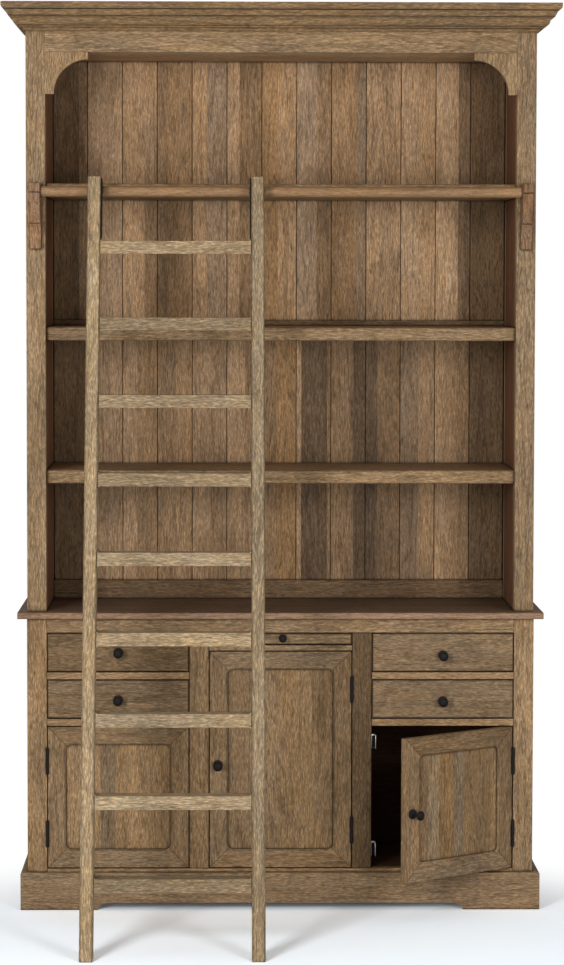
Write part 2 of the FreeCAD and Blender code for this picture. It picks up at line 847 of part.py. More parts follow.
def leaned(upright):
    """Upright solid leaned back as the ladder leans, from the front of its foot."""
    leaning = upright.rotated(Vector(0, 0, 0), Vector(1, 0, 0), -math.degrees(lean_angle))
    return leaning.translated(Vector(0, ladder_front_at_floor, 0))


def ladder_stile(x_low):
    """Leaning stile with a level foot, a rounded top and softened edges."""
    x_high = x_low + stile_width
    buried = stile_depth * ladder_lean_share
    arc_z = stile_length - stile_top_radius
    left_centre = (x_low + stile_top_radius, arc_z)
    right_centre = (x_high - stile_top_radius, arc_z)
    face = outline(
        in_front_view,
        (x_low, -buried),
        (x_high, -buried),
        (x_high, arc_z),
        (on_circle(right_centre, stile_top_radius, 45), (right_centre[0], stile_length)),
        (left_centre[0], stile_length),
        (on_circle(left_centre, stile_top_radius, 135), (x_low, arc_z)),
    )
    upright = carried_back(face, 0, stile_depth)
    upright = upright.makeChamfer(stile_edge_width, stile_long_edges(upright))
    leaning = leaned(upright)
    below = leaning.BoundBox
    return leaning.cut(block(x_low, x_high, below.YMin, below.YMax, below.ZMin, 0))


def stile_long_edges(upright):
    """Edges of the upright stile to ease: all that run up it or over its top."""
    bottom = upright.BoundBox.ZMin
    across = [edge for edge in upright.Edges if edge.BoundBox.YLength < touch]
    return [edge for edge in across if edge.BoundBox.ZMax > bottom + touch]


def rung_top(index):
    """Height of a tread, counted down from the uppermost."""
    return rung_first_height - rung_pitch * index


def ladder_rung(index):
    """Level tread that widens by a small bevelled shoulder where it meets the stiles."""
    top = rung_top(index)
    bottom = top - rung_height
    left, right = ladder_left + stile_width, ladder_right - stile_width
    shoulder = rung_shoulder
    face = outline(
        in_front_view,
        (left, top + shoulder),
        (left + shoulder, top),
        (right - shoulder, top),
        (right, top + shoulder),
        (right, bottom - shoulder),
        (right - shoulder, bottom),
        (left + shoulder, bottom),
        (left, bottom - shoulder),
    )
    tread = carried_back(face, ladder_front_at_floor, case_back)
    slab = ladder_slab(rung_setback, rung_setback, left, right, bottom - shoulder, top + shoulder)
    return tread.common(slab)


def ladder_hook(x_low):
    """Flat iron plate along a stile, up to the stile's top, that hooks back over the pole."""
    x_high = x_low + hook_thickness
    top = pole_height + ladder_rise_above_pole
    foot = rung_top(0) + rung_shoulder + hook_rung_gap
    plate = ladder_slab(hook_plate_front_inset, hook_plate_back_inset, x_low, x_high, foot, top)
    plate = plate.common(leaned(block(x_low, x_high, 0, stile_depth, 0, stile_length - hook_top_inset)))
    inner_radius = pole_radius + pole_gap
    ring = cross_cylinder(inner_radius + hook_bar_width, x_low, x_high, -pole_offset, pole_height)
    tip = pole_height - hook_tip_drop
    below = block(
        x_low,
        x_high,
        -pole_offset - inner_radius - hook_bar_width,
        -pole_offset + inner_radius + hook_bar_width,
        pole_height - inner_radius - hook_bar_width,
        tip,
    )
    hollow = cross_cylinder(inner_radius, x_low - overrun, x_high + overrun, -pole_offset, pole_height)
    return plate.fuse(ring.cut(below)).cut(hollow).removeSplitter()


# Hutch pieces
hutch_levels = hutch_side_levels()
hutch_panels = side_panels(hutch_levels, post_depth, back_post_front)
shelves = [hutch_shelf(top) for top in shelf_tops()]
nodes["hutch_posts"] = hutch_posts(hutch_panels)
nodes["hutch_side_rails"] = with_mirrors(
    grooved(side_rails(hutch_levels, post_depth, back_post_front), hutch_panels)
)
nodes["hutch_side_panels"] = with_mirrors(hutch_panels)
nodes["hutch_linings"] = with_mirrors([hutch_lining(shelves)])
nodes["hutch_top_boards"] = [
    block(-hutch_half, hutch_half, frame_thickness, back_face, opening_top, opening_top + ceiling_thickness),
    block(-case_half, case_half, 0, case_back, cap_underside, overall_height),
]
nodes["frieze_rail"] = [block(-hutch_half, hutch_half, 0, frame_thickness, opening_top, cap_underside)]
nodes["arch_spandrels"] = with_mirrors([arch_spandrel()])
nodes["cornice"] = mitred_lengths(cornice_steps(), 0, cornice_projection)
nodes["hutch_shelves"] = shelves
nodes["back_boards"] = [back_board(index) for index in range(back_board_count)]
nodes["back_rails"] = [
    back_strip(counter_height, back_rail_height, back_rail_thickness),
    back_strip(shelf_tops()[1], shelf_batten_height, shelf_batten_thickness),
]
nodes["pole_brackets"] = with_mirrors([rail_bracket()])
nodes["ladder_pole"] = [ladder_pole()]

# Doors, with what they share with the case
side_knob_height = (door_sill + side_door_head) / 2 - side_door_knob_drop
centre_knob_height = (door_sill + centre_door_head) / 2 - centre_door_knob_drop
door_plan = [
    ("left_door", -base_half, -mullion_outer, side_door_head, -1, side_door_hinge_inset, side_knob_height, 0),
    (
        "centre_door",
        -mullion_inner,
        mullion_inner,
        centre_door_head,
        1,
        centre_door_hinge_inset,
        centre_knob_height,
        0,
    ),
    (
        "right_door",
        mullion_outer,
        base_half,
        side_door_head,
        1,
        side_door_hinge_inset,
        side_knob_height,
        right_door_ajar_degrees,
    ),
]
all_housings = []
nodes["hinge_frame_leaves"] = []
for door in door_plan:
    housings, leaves = make_door(*door)
    all_housings += housings
    nodes["hinge_frame_leaves"] += leaves
nodes["door_catches"] = door_catches()

# Base pieces
base_levels = base_side_levels()
base_panels = side_panels(base_levels, base_post_back, back_post_front)
side_overhang = case_half + counter_side_overhang
counter_front = base_front - counter_front_overhang
counter = block(-side_overhang, side_overhang, counter_front, case_back, base_top, counter_height)
nodes["countertop"] = [
    soft_front(counter, -side_overhang, side_overhang, counter_front, base_top, counter_height)
]
nodes["base_posts"] = base_posts(base_panels, all_housings)
nodes["base_side_rails"] = with_mirrors(
    grooved(side_rails(base_levels, base_post_back, back_post_front), base_panels)
)
nodes["base_side_panels"] = with_mirrors(base_panels)
nodes["base_linings"] = base_linings()
nodes["base_mullions"] = base_mullions(all_housings)
nodes["base_rails"] = base_rails()
nodes["base_bottom_board"] = [
    block(-base_half, base_half, base_frame_back, back_face, door_sill - bottom_board_thickness, door_sill)
]
nodes["base_partitions"] = base_partitions()
nodes["base_back_panel"] = [
    block(-base_half, base_half, back_face, case_back, door_sill - bottom_board_thickness, base_top)
]
nodes["plinth"] = plinth_lengths()
nodes["drawer_supports"] = drawer_supports()

# Drawers and tray
upper_row = (upper_drawer_floor, top_rail_underside)
lower_row = (lower_drawer_floor, lower_drawer_ceiling)
left_bay = (-base_half, -mullion_outer)
right_bay = (mullion_outer, base_half)
make_drawer("left_upper_drawer", *left_bay, *upper_row, left_upper_knob_shift - side_bay_centre)
make_drawer("left_lower_drawer", *left_bay, *lower_row, -side_bay_centre, left_lower_knob_drop)
make_drawer("right_upper_drawer", *right_bay, *upper_row, side_bay_centre, right_upper_knob_drop)
make_drawer("right_lower_drawer", *right_bay, *lower_row, side_bay_centre, right_lower_knob_drop)
make_tray()

# Ladder
nodes["ladder_stiles"] = [ladder_stile(ladder_left), ladder_stile(ladder_right - stile_width)]
nodes["ladder_rungs"] = [ladder_rung(index) for index in range(rung_count)]
nodes["ladder_hooks"] = [
    ladder_hook(ladder_left + stile_width),
    ladder_hook(ladder_right - stile_width - hook_thickness),
]

# Every node moves so that the middle of the plan is at the origin, and is written to its own file
plan_middle = (ladder_front_at_floor + case_back) / 2
os.makedirs("parts", exist_ok=True)
for name, solids in nodes.items():
    shape = Part.makeCompound(solids).translated(Vector(0, -plan_middle, 0))
    shape.exportStep(os.path.join("parts", name + ".step"))
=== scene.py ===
"""Library bookcase with ladder: finishes and fittings, laid out as a Blender add-on."""

import json
import math
import random
from dataclasses import dataclass

import bmesh
import bpy
from bpy.props import FloatProperty, FloatVectorProperty, PointerProperty
from bpy.types import Node, NodeSocket, Operator, Panel, PropertyGroup
from mathutils import Matrix, Vector


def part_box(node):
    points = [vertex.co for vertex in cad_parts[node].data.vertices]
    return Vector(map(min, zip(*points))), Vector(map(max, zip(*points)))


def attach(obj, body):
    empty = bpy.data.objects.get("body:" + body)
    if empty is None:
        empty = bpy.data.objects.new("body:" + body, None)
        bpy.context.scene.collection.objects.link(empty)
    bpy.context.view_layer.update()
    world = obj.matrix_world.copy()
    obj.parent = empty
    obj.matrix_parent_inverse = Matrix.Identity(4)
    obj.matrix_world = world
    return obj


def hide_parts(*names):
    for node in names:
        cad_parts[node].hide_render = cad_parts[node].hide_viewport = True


bl_info = {
    "name": "Library Bookcase",
    "version": (1, 0, 0),
    "blender": (4, 5, 0),
    "location": "View3D > Sidebar > Bookcase",
    "description": "Eased boards, brushed wood finishes and iron fittings for a bookcase with a ladder",
    "category": "Object",
}

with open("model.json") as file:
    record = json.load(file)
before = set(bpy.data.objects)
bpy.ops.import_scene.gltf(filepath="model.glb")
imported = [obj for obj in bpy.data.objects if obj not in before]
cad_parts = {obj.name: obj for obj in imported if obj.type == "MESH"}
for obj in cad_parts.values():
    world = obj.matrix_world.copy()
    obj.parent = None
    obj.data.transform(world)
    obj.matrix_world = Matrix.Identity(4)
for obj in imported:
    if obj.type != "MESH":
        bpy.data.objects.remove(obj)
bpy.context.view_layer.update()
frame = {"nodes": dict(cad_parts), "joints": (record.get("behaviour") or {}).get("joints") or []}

MM = 0.001
SEAM = 0.002 * MM
FLAT_ANGLE = math.radians(0.4)
SHARP_ANGLE = math.radians(30)
SMOOTH_ANGLE = math.radians(40)

# How light a narrow face is painted against its board: painted shade in a hollow or at a cornice quirk,
# painted shade on a ladder's rounded foot, and the least darkening of an eased edge along a mitre
PAINTED_CREASE_SHADE = 0.10
PAINTED_FOOT_SHADE = 0.6
MITRE_SHARE = 0.85

# Light of the studio: the surroundings' share, the floor's extra brightness to the camera, and the
# distances from the middle of the floor between which it fades to white
SOFT_LIGHT = 0.23
FLOOR_GAIN = 1.56
FLOOR_MIDDLE = (0, -0.45, 0)
FADE_NEAR, FADE_FAR = 0.7, 1.5
LAMP_SIZE = (1.2, 2.4)
LAMP_AIM = (0, 0.15, 1.25)
LAMPS = (("lamp_left", (-2.4, -5.2, 2.1), 152.0), ("lamp_right", (2.4, -5.2, 1.35), 91.0))

# The photograph's camera: its place, its turn in degrees, and its focal length over its picture's width
CAMERA_PLACE = (-0.135, -8.177315, 1.675)
CAMERA_YAW, CAMERA_DIP, CAMERA_ROLL = -0.95, 3.68, 0.10
CAMERA_REACH = 3147 / 564
SENSOR_WIDTH = 36.0


def linear(code):
    """Linear colour of an sRGB hex code."""
    shares = [int(code[start:start + 2], 16) / 255 for start in (0, 2, 4)]
    return tuple(s / 12.92 if s <= 0.04045 else ((s + 0.055) / 1.055) ** 2.4 for s in shares) + (1.0,)


def length_setting(name, description, millimetres):
    """Length that a user may change, with its default in millimetres."""
    return FloatProperty(name=name, description=description, default=millimetres * MM, unit="LENGTH")


def colour_setting(name, description, code):
    """Colour that a user may change, with its default as an sRGB hex code."""
    return FloatVectorProperty(
        name=name, description=description, default=linear(code), size=4, subtype="COLOR", min=0, max=1
    )


class BookcaseFinishes(PropertyGroup):
    """Colours of the woods, the metals and the floor."""

    case_wood: colour_setting("Case wood", "Brushed mango of posts, rails and fronts", "957a5b")
    back_wood: colour_setting("Back wood", "Boards of the back", "a38668")
    inner_wood: colour_setting("Inner wood", "Boards inside the case", "684834")
    red_wood: colour_setting("Red wood", "Heartwood of the corbels", "9c785a")
    pole_wood: colour_setting("Pole wood", "Waxed wood of the pole", "9c7a58")
    counter_wood: colour_setting("Counter wood", "Reddish boards of the countertop", "92745c")
    ladder_wood: colour_setting("Ladder wood", "Paler wood of the ladder", "a68f70")
    black_iron: colour_setting("Black iron", "Waxed black iron of knobs and hinges", "080707")
    catch_steel: colour_setting("Catch steel", "Bright plates of the catches", "c9c5bd")
    floor_white: colour_setting("Floor", "Pale studio floor", "e8f0f7")


class BookcaseSizes(PropertyGroup):
    """Small sizes that the finishes and fittings follow."""

    board_ease: length_setting("Board ease", "Rounding along the edges of a board", 1.2)
    ladder_ease: length_setting("Ladder ease", "Rounding along the ladder's edges", 1.6)
    iron_ease: length_setting("Iron ease", "Rounding along the edges of iron pieces", 0.25)
    # Creases are narrow faces painted dark in the hollows as painted shade, the quirk depths place painted
    # shadow lines in the cornice, and the feet's rounding is painted darker as painted shade
    cornice_crease: length_setting("Cornice crease", "Width of the dark lines in the cornice's hollows", 2.2)
    cornice_quirk: length_setting("Cornice quirk", "Depth of the upper quirk below the cornice's top", 36)
    cornice_low_quirk: length_setting("Cornice low quirk", "Depth of the lower quirk below the top", 59)
    corbel_crease: length_setting("Corbel crease", "Width of the dark lines in a corbel's hollows", 1.6)
    plinth_crease: length_setting("Plinth crease", "Width of the dark lines in the plinth's hollows", 1.2)
    door_crease: length_setting("Door crease", "Width of the dark line round a door's panel", 1)
    foot_round: length_setting("Foot round", "Rounding of the ladder's feet", 5)
    stave_least: length_setting("Narrowest stave", "Least width of the staves in a wide board", 38)
    stave_most: length_setting("Widest stave", "Greatest width of the staves in a wide board", 74)
    knob_rose_radius: length_setting("Rose radius", "Radius of a knob's rose", 12.5)
    knob_rose_height: length_setting("Rose height", "Thickness of a knob's rose", 4)
    knob_neck_radius: length_setting("Neck radius", "Radius of a knob's neck", 4.6)
    knob_neck_length: length_setting("Neck length", "Straight length of a knob's neck", 17.2)
    knob_flare_length: length_setting("Flare length", "Length over which the neck opens to the head", 9)
    knob_head_radius: length_setting("Head radius", "Radius of a knob's head", 12.5)
    knob_rim_height: length_setting("Rim height", "Thickness of the head's rim", 4)
    knob_dome_height: length_setting("Dome height", "Rise of the head's domed front", 2.8)
    screw_radius: length_setting("Screw radius", "Radius of a screw's head", 3.1)
    screw_slot: length_setting("Screw slot", "Width and depth of the slot in a screw's head", 0.7)
    catch_wall: length_setting("Catch wall", "Thickness of a catch's steel clip", 1.8)
    strike_thickness: length_setting("Strike thickness", "Thickness of a strike plate", 1.2)


DOORS = ("left_door", "centre_door", "right_door")

# Wood tones: how light a stave is against its finish, and how warm: greyer below 0 and redder above it
TONES = {
    "bleached": (1.5, 0.0),
    "pale": (1.18, 0.0),
    "honey": (1.08, 0.45),
    "tan": (1.0, 0.1),
    "oat": (1.0, -0.7),
    "dim": (0.80, 0.1),
    "deep": (0.62, 0.2),
    "orange": (0.90, 2.0),
    "rose": (0.84, 0.75),
    "rust": (0.70, 0.7),
    "shade": (0.72, -0.3),
    "olive": (0.90, -0.7),
    "grey": (0.78, -1.0),
    "slate": (0.42, -0.4),
    "umber": (0.46, 0.8),
}

# Staves of the back boards from left to right, each a tone and the share of the board where it ends
UPPER_STAVES = (
    (("umber", 0.72), ("shade", 1)), (("pale", 1),), (("pale", 0.6), ("tan", 1)),
    (("rust", 0.3), ("rose", 1)), (("honey", 0.42), ("olive", 1)), (("pale", 0.34), ("rust", 1)),
    (("orange", 0.45), ("honey", 1)), (("oat", 0.55), ("dim", 1)), (("rose", 0.7), ("grey", 1)),
    (("honey", 1),), (("pale", 0.5), ("honey", 1)), (("pale", 0.62), ("deep", 1)), (("umber", 1),),
)
LOWER_STAVES = (
    (("umber", 1),), (("tan", 1),), (("pale", 0.4), ("rose", 1)), (("dim", 0.5), ("honey", 1)),
    (("tan", 0.5), ("dim", 1)), (("tan", 0.5), ("dim", 1)), (("rust", 0.4), ("orange", 1)),
    (("tan", 0.14), ("slate", 0.85), ("rose", 1)), (("dim", 0.62), ("slate", 1)),
    (("slate", 0.33), ("deep", 1)), (("shade", 0.5), ("dim", 1)), (("tan", 0.3), ("rose", 1)),
    (("umber", 1),),
)

# Treads of the ladder, from the highest down
RUNG_TONES = ("tan", "shade", "dim", "shade", "olive", "tan", "olive", "oat", "deep")

# Staves of the door panels, from left to right
PANEL_STAVES = {
    "left_door": (("tan", 0.34), ("grey", 0.47), ("honey", 0.86), ("rose", 1)),
    "centre_door": (("dim", 0.26), ("dim", 0.5), ("rose", 0.78), ("dim", 1)),
    "right_door": (
        ("rust", 0.15), ("olive", 0.28), ("orange", 0.45), ("grey", 0.58), ("rose", 0.9), ("honey", 1),
    ),
}

# Members of the doors' frames: left, top, bottom and right
FRAME_TONES = {
    "left_door": ("dim", "dim", "olive", "dim"),
    "centre_door": ("dim", "olive", "dim", "dim"),
    "right_door": ("dim", "deep", "oat", "dim"),
}


# Selecting and shaping

def use_alone(piece):
    """Makes a piece the active object and the only one selected."""
    bpy.ops.object.select_all(action="DESELECT")
    piece.select_set(True)
    bpy.context.view_layer.objects.active = piece


def edit(piece):
    """Opens a piece in edit mode."""
    use_alone(piece)
    bpy.ops.object.mode_set(mode="EDIT")


def close_edit():
    """Leaves edit mode."""
    bpy.ops.object.mode_set(mode="OBJECT")


def select_where(piece, kind, wanted):
    """Selects an open piece's edges or faces for which wanted is true, and tells whether there are any."""
    bpy.ops.mesh.select_mode(type=kind)
    bpy.ops.mesh.select_all(action="DESELECT")
    shape = bmesh.from_edit_mesh(piece.data)
    parts = shape.edges if kind == "EDGE" else shape.faces
    for part in parts:
        part.select_set(wanted(part))
    shape.select_flush_mode()
    return any(part.select for part in parts)


def cut(place, normal, **options):
    """Cuts an open piece along a plane."""
    bpy.ops.mesh.select_all(action="SELECT")
    bpy.ops.mesh.bisect(plane_co=place, plane_no=normal, **options)


def joined(pieces, name):
    """One object made of several, under a new name."""
    use_alone(pieces[0])
    for piece in pieces:
        piece.select_set(True)
    if len(pieces) > 1:
        bpy.ops.object.join()
    whole = bpy.context.view_layer.objects.active
    whole.name = name
    whole.data.name = name
    return whole


def smooth(piece):
    """Shades the round faces of a piece smooth and keeps its edges crisp."""
    use_alone(piece)
    bpy.ops.object.shade_smooth_by_angle(angle=SMOOTH_ANGLE)


def placed_copy(pattern, name, place):
    """Copy of a piece with its own mesh, put in place by a matrix."""
    mesh = pattern.data.copy()
    mesh.transform(place)
    copy = bpy.data.objects.new(name, mesh)
    bpy.context.scene.collection.objects.link(copy)
    return copy


# The frame's solids and their own directions

def corners_of(node):
    """Corners of a node's mesh."""
    return [vertex.co for vertex in frame["nodes"][node].data.vertices]


def solids_of(node):
    """Meshes of a node's solids, whose loose triangles follow one another until each solid closes."""
    source = frame["nodes"][node].data
    keys = [tuple(round(part / SEAM) for part in vertex.co) for vertex in source.vertices]
    found = []
    open_edges = set()
    numbers, corners, faces = {}, [], []
    for polygon in source.polygons:
        face = []
        for index in polygon.vertices:
            key = keys[index]
            if key not in numbers:
                numbers[key] = len(corners)
                corners.append(source.vertices[index].co.copy())
            face.append(numbers[key])
        faces.append(face)
        for here, there in zip(face, face[1:] + face[:1]):
            if (there, here) in open_edges:
                open_edges.remove((there, here))
            else:
                open_edges.add((here, there))
        if not open_edges:
            found.append((corners, faces))
            numbers, corners, faces = {}, [], []
    if open_edges:
        raise RuntimeError("The solids of " + node + " don't close")
    return found


def whole_solid(name, corners, faces):
    """Piece with the shape of a solid, its flat faces made whole from their triangles."""
    mesh = bpy.data.meshes.new(name)
    mesh.from_pydata(corners, [], faces)
    piece = bpy.data.objects.new(name, mesh)
    bpy.context.scene.collection.objects.link(piece)
    edit(piece)
    bpy.ops.mesh.select_all(action="SELECT")
    bpy.ops.mesh.dissolve_limited(angle_limit=FLAT_ANGLE)
    close_edit()
    return piece


def door_hinge(body):
    """Joint of a body that swings about an upright pin, or None."""
    for joint in frame["joints"]:
        if joint["child"] == body and joint["type"] == "hinge" and joint["axis"][2]:
            return joint
    return None


def door_turn(body):
    """Turn of a door that stands ajar at rest, from the closing end of its hinge's range."""
    joint = door_hinge(body)
    if joint is None:
        return Matrix.Identity(3)
    return Matrix.Rotation(math.radians(-joint["range_deg"][0] * joint["axis"][2]), 3, "Z")


def door_swing(door):
    """Matrix that takes a point of the closed door to where the door stands at rest."""
    pin = Vector(door_hinge(door)["pos_m"])
    return Matrix.Translation(pin) @ door_turn(door).to_4x4() @ Matrix.Translation(-pin)


def ladder_lean():
    """Turn that leans an upright piece like the ladder's stiles."""
    low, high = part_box("ladder_stiles")
    corners = corners_of("ladder_stiles")
    top = [corner.y for corner in corners if corner.z > high.z - 20 * MM]
    foot = [corner.y for corner in corners if corner.z < low.z + 20 * MM]
    run = (min(top) + max(top)) / 2 - (min(foot) + max(foot)) / 2
    return Matrix.Rotation(-math.atan2(run, high.z - low.z), 3, "X")


def turned_box(corners, turn=Matrix.Identity(3)):
    """Lowest and highest corners of some points, seen along a turned piece's own directions."""
    own = [turn.transposed() @ corner for corner in corners]
    low = Vector([min(point[axis] for point in own) for axis in range(3)])
    high = Vector([max(point[axis] for point in own) for axis in range(3)])
    return low, high


# Boards with eased edges and their own grain

def grain_order(size, along):
    """Axes of a board across its face, through its thickness and along its grain."""
    axes = [0, 1, 2]
    way = "xyz".index(along) if along in "xyz" else max(axes, key=lambda axis: size[axis])
    axes.remove(way)
    thick = min(axes, key=lambda axis: size[axis])
    axes.remove(thick)
    return axes[0], thick, way


def stave_lines(low, high, chance, sizes):
    """Glue lines between the staves of a board that is wider than one stave."""
    lines = []
    place = low + chance.uniform(sizes.stave_least, sizes.stave_most)
    while place < high - sizes.stave_least / 2:
        lines.append(place)
        place += chance.uniform(sizes.stave_least, sizes.stave_most)
    return lines if high - low > sizes.stave_most * 1.4 else []


def cut_staves(piece, lines, turn, across):
    """Cuts a board's faces along its glue lines."""
    edit(piece)
    normal = turn @ Vector([1.0 if axis == across else 0.0 for axis in range(3)])
    for line in lines:
        cut(normal * line, normal)
    close_edit()


def outer_edge(edge):
    """Whether two faces meet in a sharp edge that stands out."""
    return edge.is_convex and edge.calc_face_angle(0) > SHARP_ANGLE


def inner_corner(edge):
    """Whether two faces meet in a sharp corner that runs inward."""
    return not edge.is_convex and edge.calc_face_angle(0) > SHARP_ANGLE


def ease_edges(piece, width, wanted):
    """Rounds the long edges of a piece for which wanted is true, and selects the new faces."""

    def eased(edge):
        return len(edge.link_faces) == 2 and edge.calc_length() > 8 * width and wanted(edge)

    edit(piece)
    if select_where(piece, "EDGE", eased):
        bpy.ops.mesh.bevel(offset=width, segments=2, affect="EDGES", clamp_overlap=False)


def aslant(face):
    """Whether a narrow face runs aslant, as along the mitre of a door's frame."""
    longest = max(face.edges, key=lambda edge: edge.calc_length())
    return 0.3 < abs(longest.verts[0].co.z - longest.verts[1].co.z) / longest.calc_length() < 0.9


def mark_edges(piece, look):
    """Eases a piece's edges and notes how light each new face is painted in its wear and shade attribute:
    paler on a rubbed edge, darker as painted shade in hollows, at feet and along edges.
    """
    piece.data.attributes.new("wear", "FLOAT", "FACE")

    def quirk(edge):
        return any(all(abs(end.co.z - level) < 0.2 * MM for end in edge.verts) for level in look.quirks)

    def foot(edge):
        across = abs(edge.verts[0].co.x - edge.verts[1].co.x)
        return across < 0.1 * MM and all(end.co.z < 30 * MM for end in edge.verts) and outer_edge(edge)

    # Painted shade: faces eased in inner corners and at the cornice's quirks are darkened as painted shade
    # in the hollows, and faces at the ladder's rounded feet as painted shade on the feet; outer edges are
    # paler where rubbed or darker as painted shade, as the look asks
    passes = (
        (look.crease, quirk, PAINTED_CREASE_SHADE), (look.crease, inner_corner, PAINTED_CREASE_SHADE),
        (look.foot, foot, PAINTED_FOOT_SHADE), (look.ease, outer_edge, look.wear),
    )
    for width, wanted, share in passes:
        if width:
            ease_edges(piece, width, wanted)
            shape = bmesh.from_edit_mesh(piece.data)
            wear = shape.faces.layers.float["wear"]
            for face in shape.faces:
                strip_width = 2 * face.calc_area() / face.calc_perimeter()
                if face.select and strip_width < 1.2 * width:
                    mitre = wanted is outer_edge and aslant(face)
                    face[wear] = (max(share, MITRE_SHARE) if mitre else share) - 1
            close_edit()


def write_grain(piece, look, order, lines, chance, tones):
    """Gives each stave its own figure and tone, each eased edge its rubbed paleness or painted shade, and
    upward faces the look's painted top shade.
    """
    mesh = piece.data
    across, thick, along = order
    shifts = [Vector([chance.uniform(0, 40) for axis in range(3)]) for stave in range(len(lines) + 1)]
    grain = mesh.attributes.new("grain", "FLOAT_VECTOR", "CORNER")
    board = mesh.attributes.new("board", "FLOAT_VECTOR", "FACE")
    wear = mesh.attributes["wear"]
    back = look.turn.transposed()
    for face in mesh.polygons:
        middle = (back @ face.center)[across]
        stave = sum(middle > line for line in lines)
        light, warmth = tones[stave]
        light *= 1 + wear.data[face.index].value
        # Painted shade: upward faces are darkened by the look's top factor, as on the countertop's top under
        # the hutch
        if face.normal.z > 0.9:
            light *= look.top
        board.data[face.index].vector = (light, warmth, 0.0)
        for corner in face.loop_indices:
            own = back @ mesh.vertices[mesh.loops[corner].vertex_index].co
            grain.data[corner].vector = Vector((own[across], own[thick], own[along])) + shifts[stave]


def trim(piece, height, upper):
    """Cuts a board square at a height and keeps its upper or its lower length."""
    edit(piece)
    cut((0, 0, height), (0, 0, 1), use_fill=True, clear_inner=upper, clear_outer=not upper)
    close_edit()


def finished_board(corners, faces, name, look, chance, tone="tan", staves=None, length=None):
    """One board: flat faces made whole, staves marked, edges eased and grain laid along it."""
    sizes = bpy.context.scene.bookcase_sizes
    piece = whole_solid(name, corners, faces)
    if length:
        trim(piece, *length)
    low, high = turned_box(corners, look.turn)
    order = grain_order(high - low, look.along)
    across = order[0]
    if staves:
        lines = [low[across] + end * (high[across] - low[across]) for stave, end in staves[:-1]]
        tones = [TONES[stave] for stave, end in staves]
    else:
        lines = stave_lines(low[across], high[across], chance, sizes)
        tones = [TONES[tone]] * (len(lines) + 1)
    tones = [
        (light * chance.uniform(1 - look.spread, 1 + look.spread), warmth + chance.uniform(-0.3, 0.3))
        for light, warmth in tones
    ]
    mark_edges(piece, look)
    if lines:
        cut_staves(piece, lines, look.turn, across)
    write_grain(piece, look, order, lines, chance, tones)
    return piece


@dataclass
class Look:
    """How boards are worked: grain, turn, easing, edge wear and painted edge shade, painted shade in hollows
    and at feet, painted shade on tops, and how much tones differ.
    """

    along: str = "longest"
    turn: Matrix = None
    ease: float = 0.0
    # Edge factor over 1 makes an eased edge paler where it is rubbed, and under 1 paints shade along it, as
    # the dark lines at gaps and outlines; crease and foot are widths of faces painted dark as painted shade,
    # and top paints shade on upward faces
    wear: float = 1.12
    crease: float = 0.0
    quirks: tuple = ()
    foot: float = 0.0
    top: float = 1.0
    spread: float = 0.08

    def __post_init__(self):
        self.turn = self.turn or Matrix.Identity(3)
        self.ease = self.ease or bpy.context.scene.bookcase_sizes.board_ease


def leftmost(solid):
    """Place of a solid's left end, to sort solids from left to right."""
    return round(min(corner.x for corner in solid[0]), 4)


def eased_node(node, body, finish, look=None, tones=("tan",), staves=None):
    """Stands in for a wooden node with boards of the same shape, eased and grained one by one."""
    look = look or Look()
    chance = random.Random(node)
    boards = [
        finished_board(corners, faces, node + "_board", look, chance, tones[index % len(tones)], staves)
        for index, (corners, faces) in enumerate(sorted(solids_of(node), key=leftmost))
    ]
    piece = joined(boards, node + "_finished")
    dress(piece, finish, body)
    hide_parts(node)
    return piece


def paint(piece, finish):
    """Gives a piece the material of a finish and no other."""
    piece.data.materials.clear()
    piece.data.materials.append(material_of(finish))


def dress(piece, finish, body):
    """Gives a piece its material and slot and lets it ride on its body."""
    paint(piece, finish)
    smooth(piece)
    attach(piece, body)


# Materials

def add_node(tree, kind, inputs=(), **settings):
    """Adds a shader node with its settings; inputs that are nodes or sockets are linked, others are set.

    Inputs come in the node's own order, or by name or number. Those of a Map Range node are the value, the
    range that it comes from and the range that it goes to.
    """
    node = tree.nodes.new("ShaderNode" + kind)
    for name, value in settings.items():
        setattr(node, name, value)
    pairs = inputs.items() if isinstance(inputs, dict) else enumerate(inputs)
    for key, value in pairs:
        if isinstance(value, Node):
            value = next(socket for socket in value.outputs if socket.enabled)
        if isinstance(value, NodeSocket):
            tree.links.new(value, node.inputs[key])
        else:
            node.inputs[key].default_value = value
    return node


def new_material(name):
    """Empty node material with its output."""
    material = bpy.data.materials.new(name)
    material.use_nodes = True
    material.node_tree.nodes.clear()
    return material, material.node_tree


def shade_of(colour, factor):
    """Same hue, lighter or darker."""
    return tuple(min(part * factor, 1.0) for part in colour[:3]) + (1.0,)


def grained_noise(tree, grain, across_mm, along_mm, detail, roughness=0.5, distortion=0.0):
    """Noise stretched along the grain, for features of a real width and length."""
    wide, long = 1 / (across_mm * MM), 1 / (along_mm * MM)
    place = add_node(tree, "VectorMath", [grain, (wide, wide, long)], operation="MULTIPLY")
    inputs = {"Vector": place, "Scale": 1.0, "Detail": detail, "Roughness": roughness}
    return add_node(tree, "TexNoise", {**inputs, "Distortion": distortion})


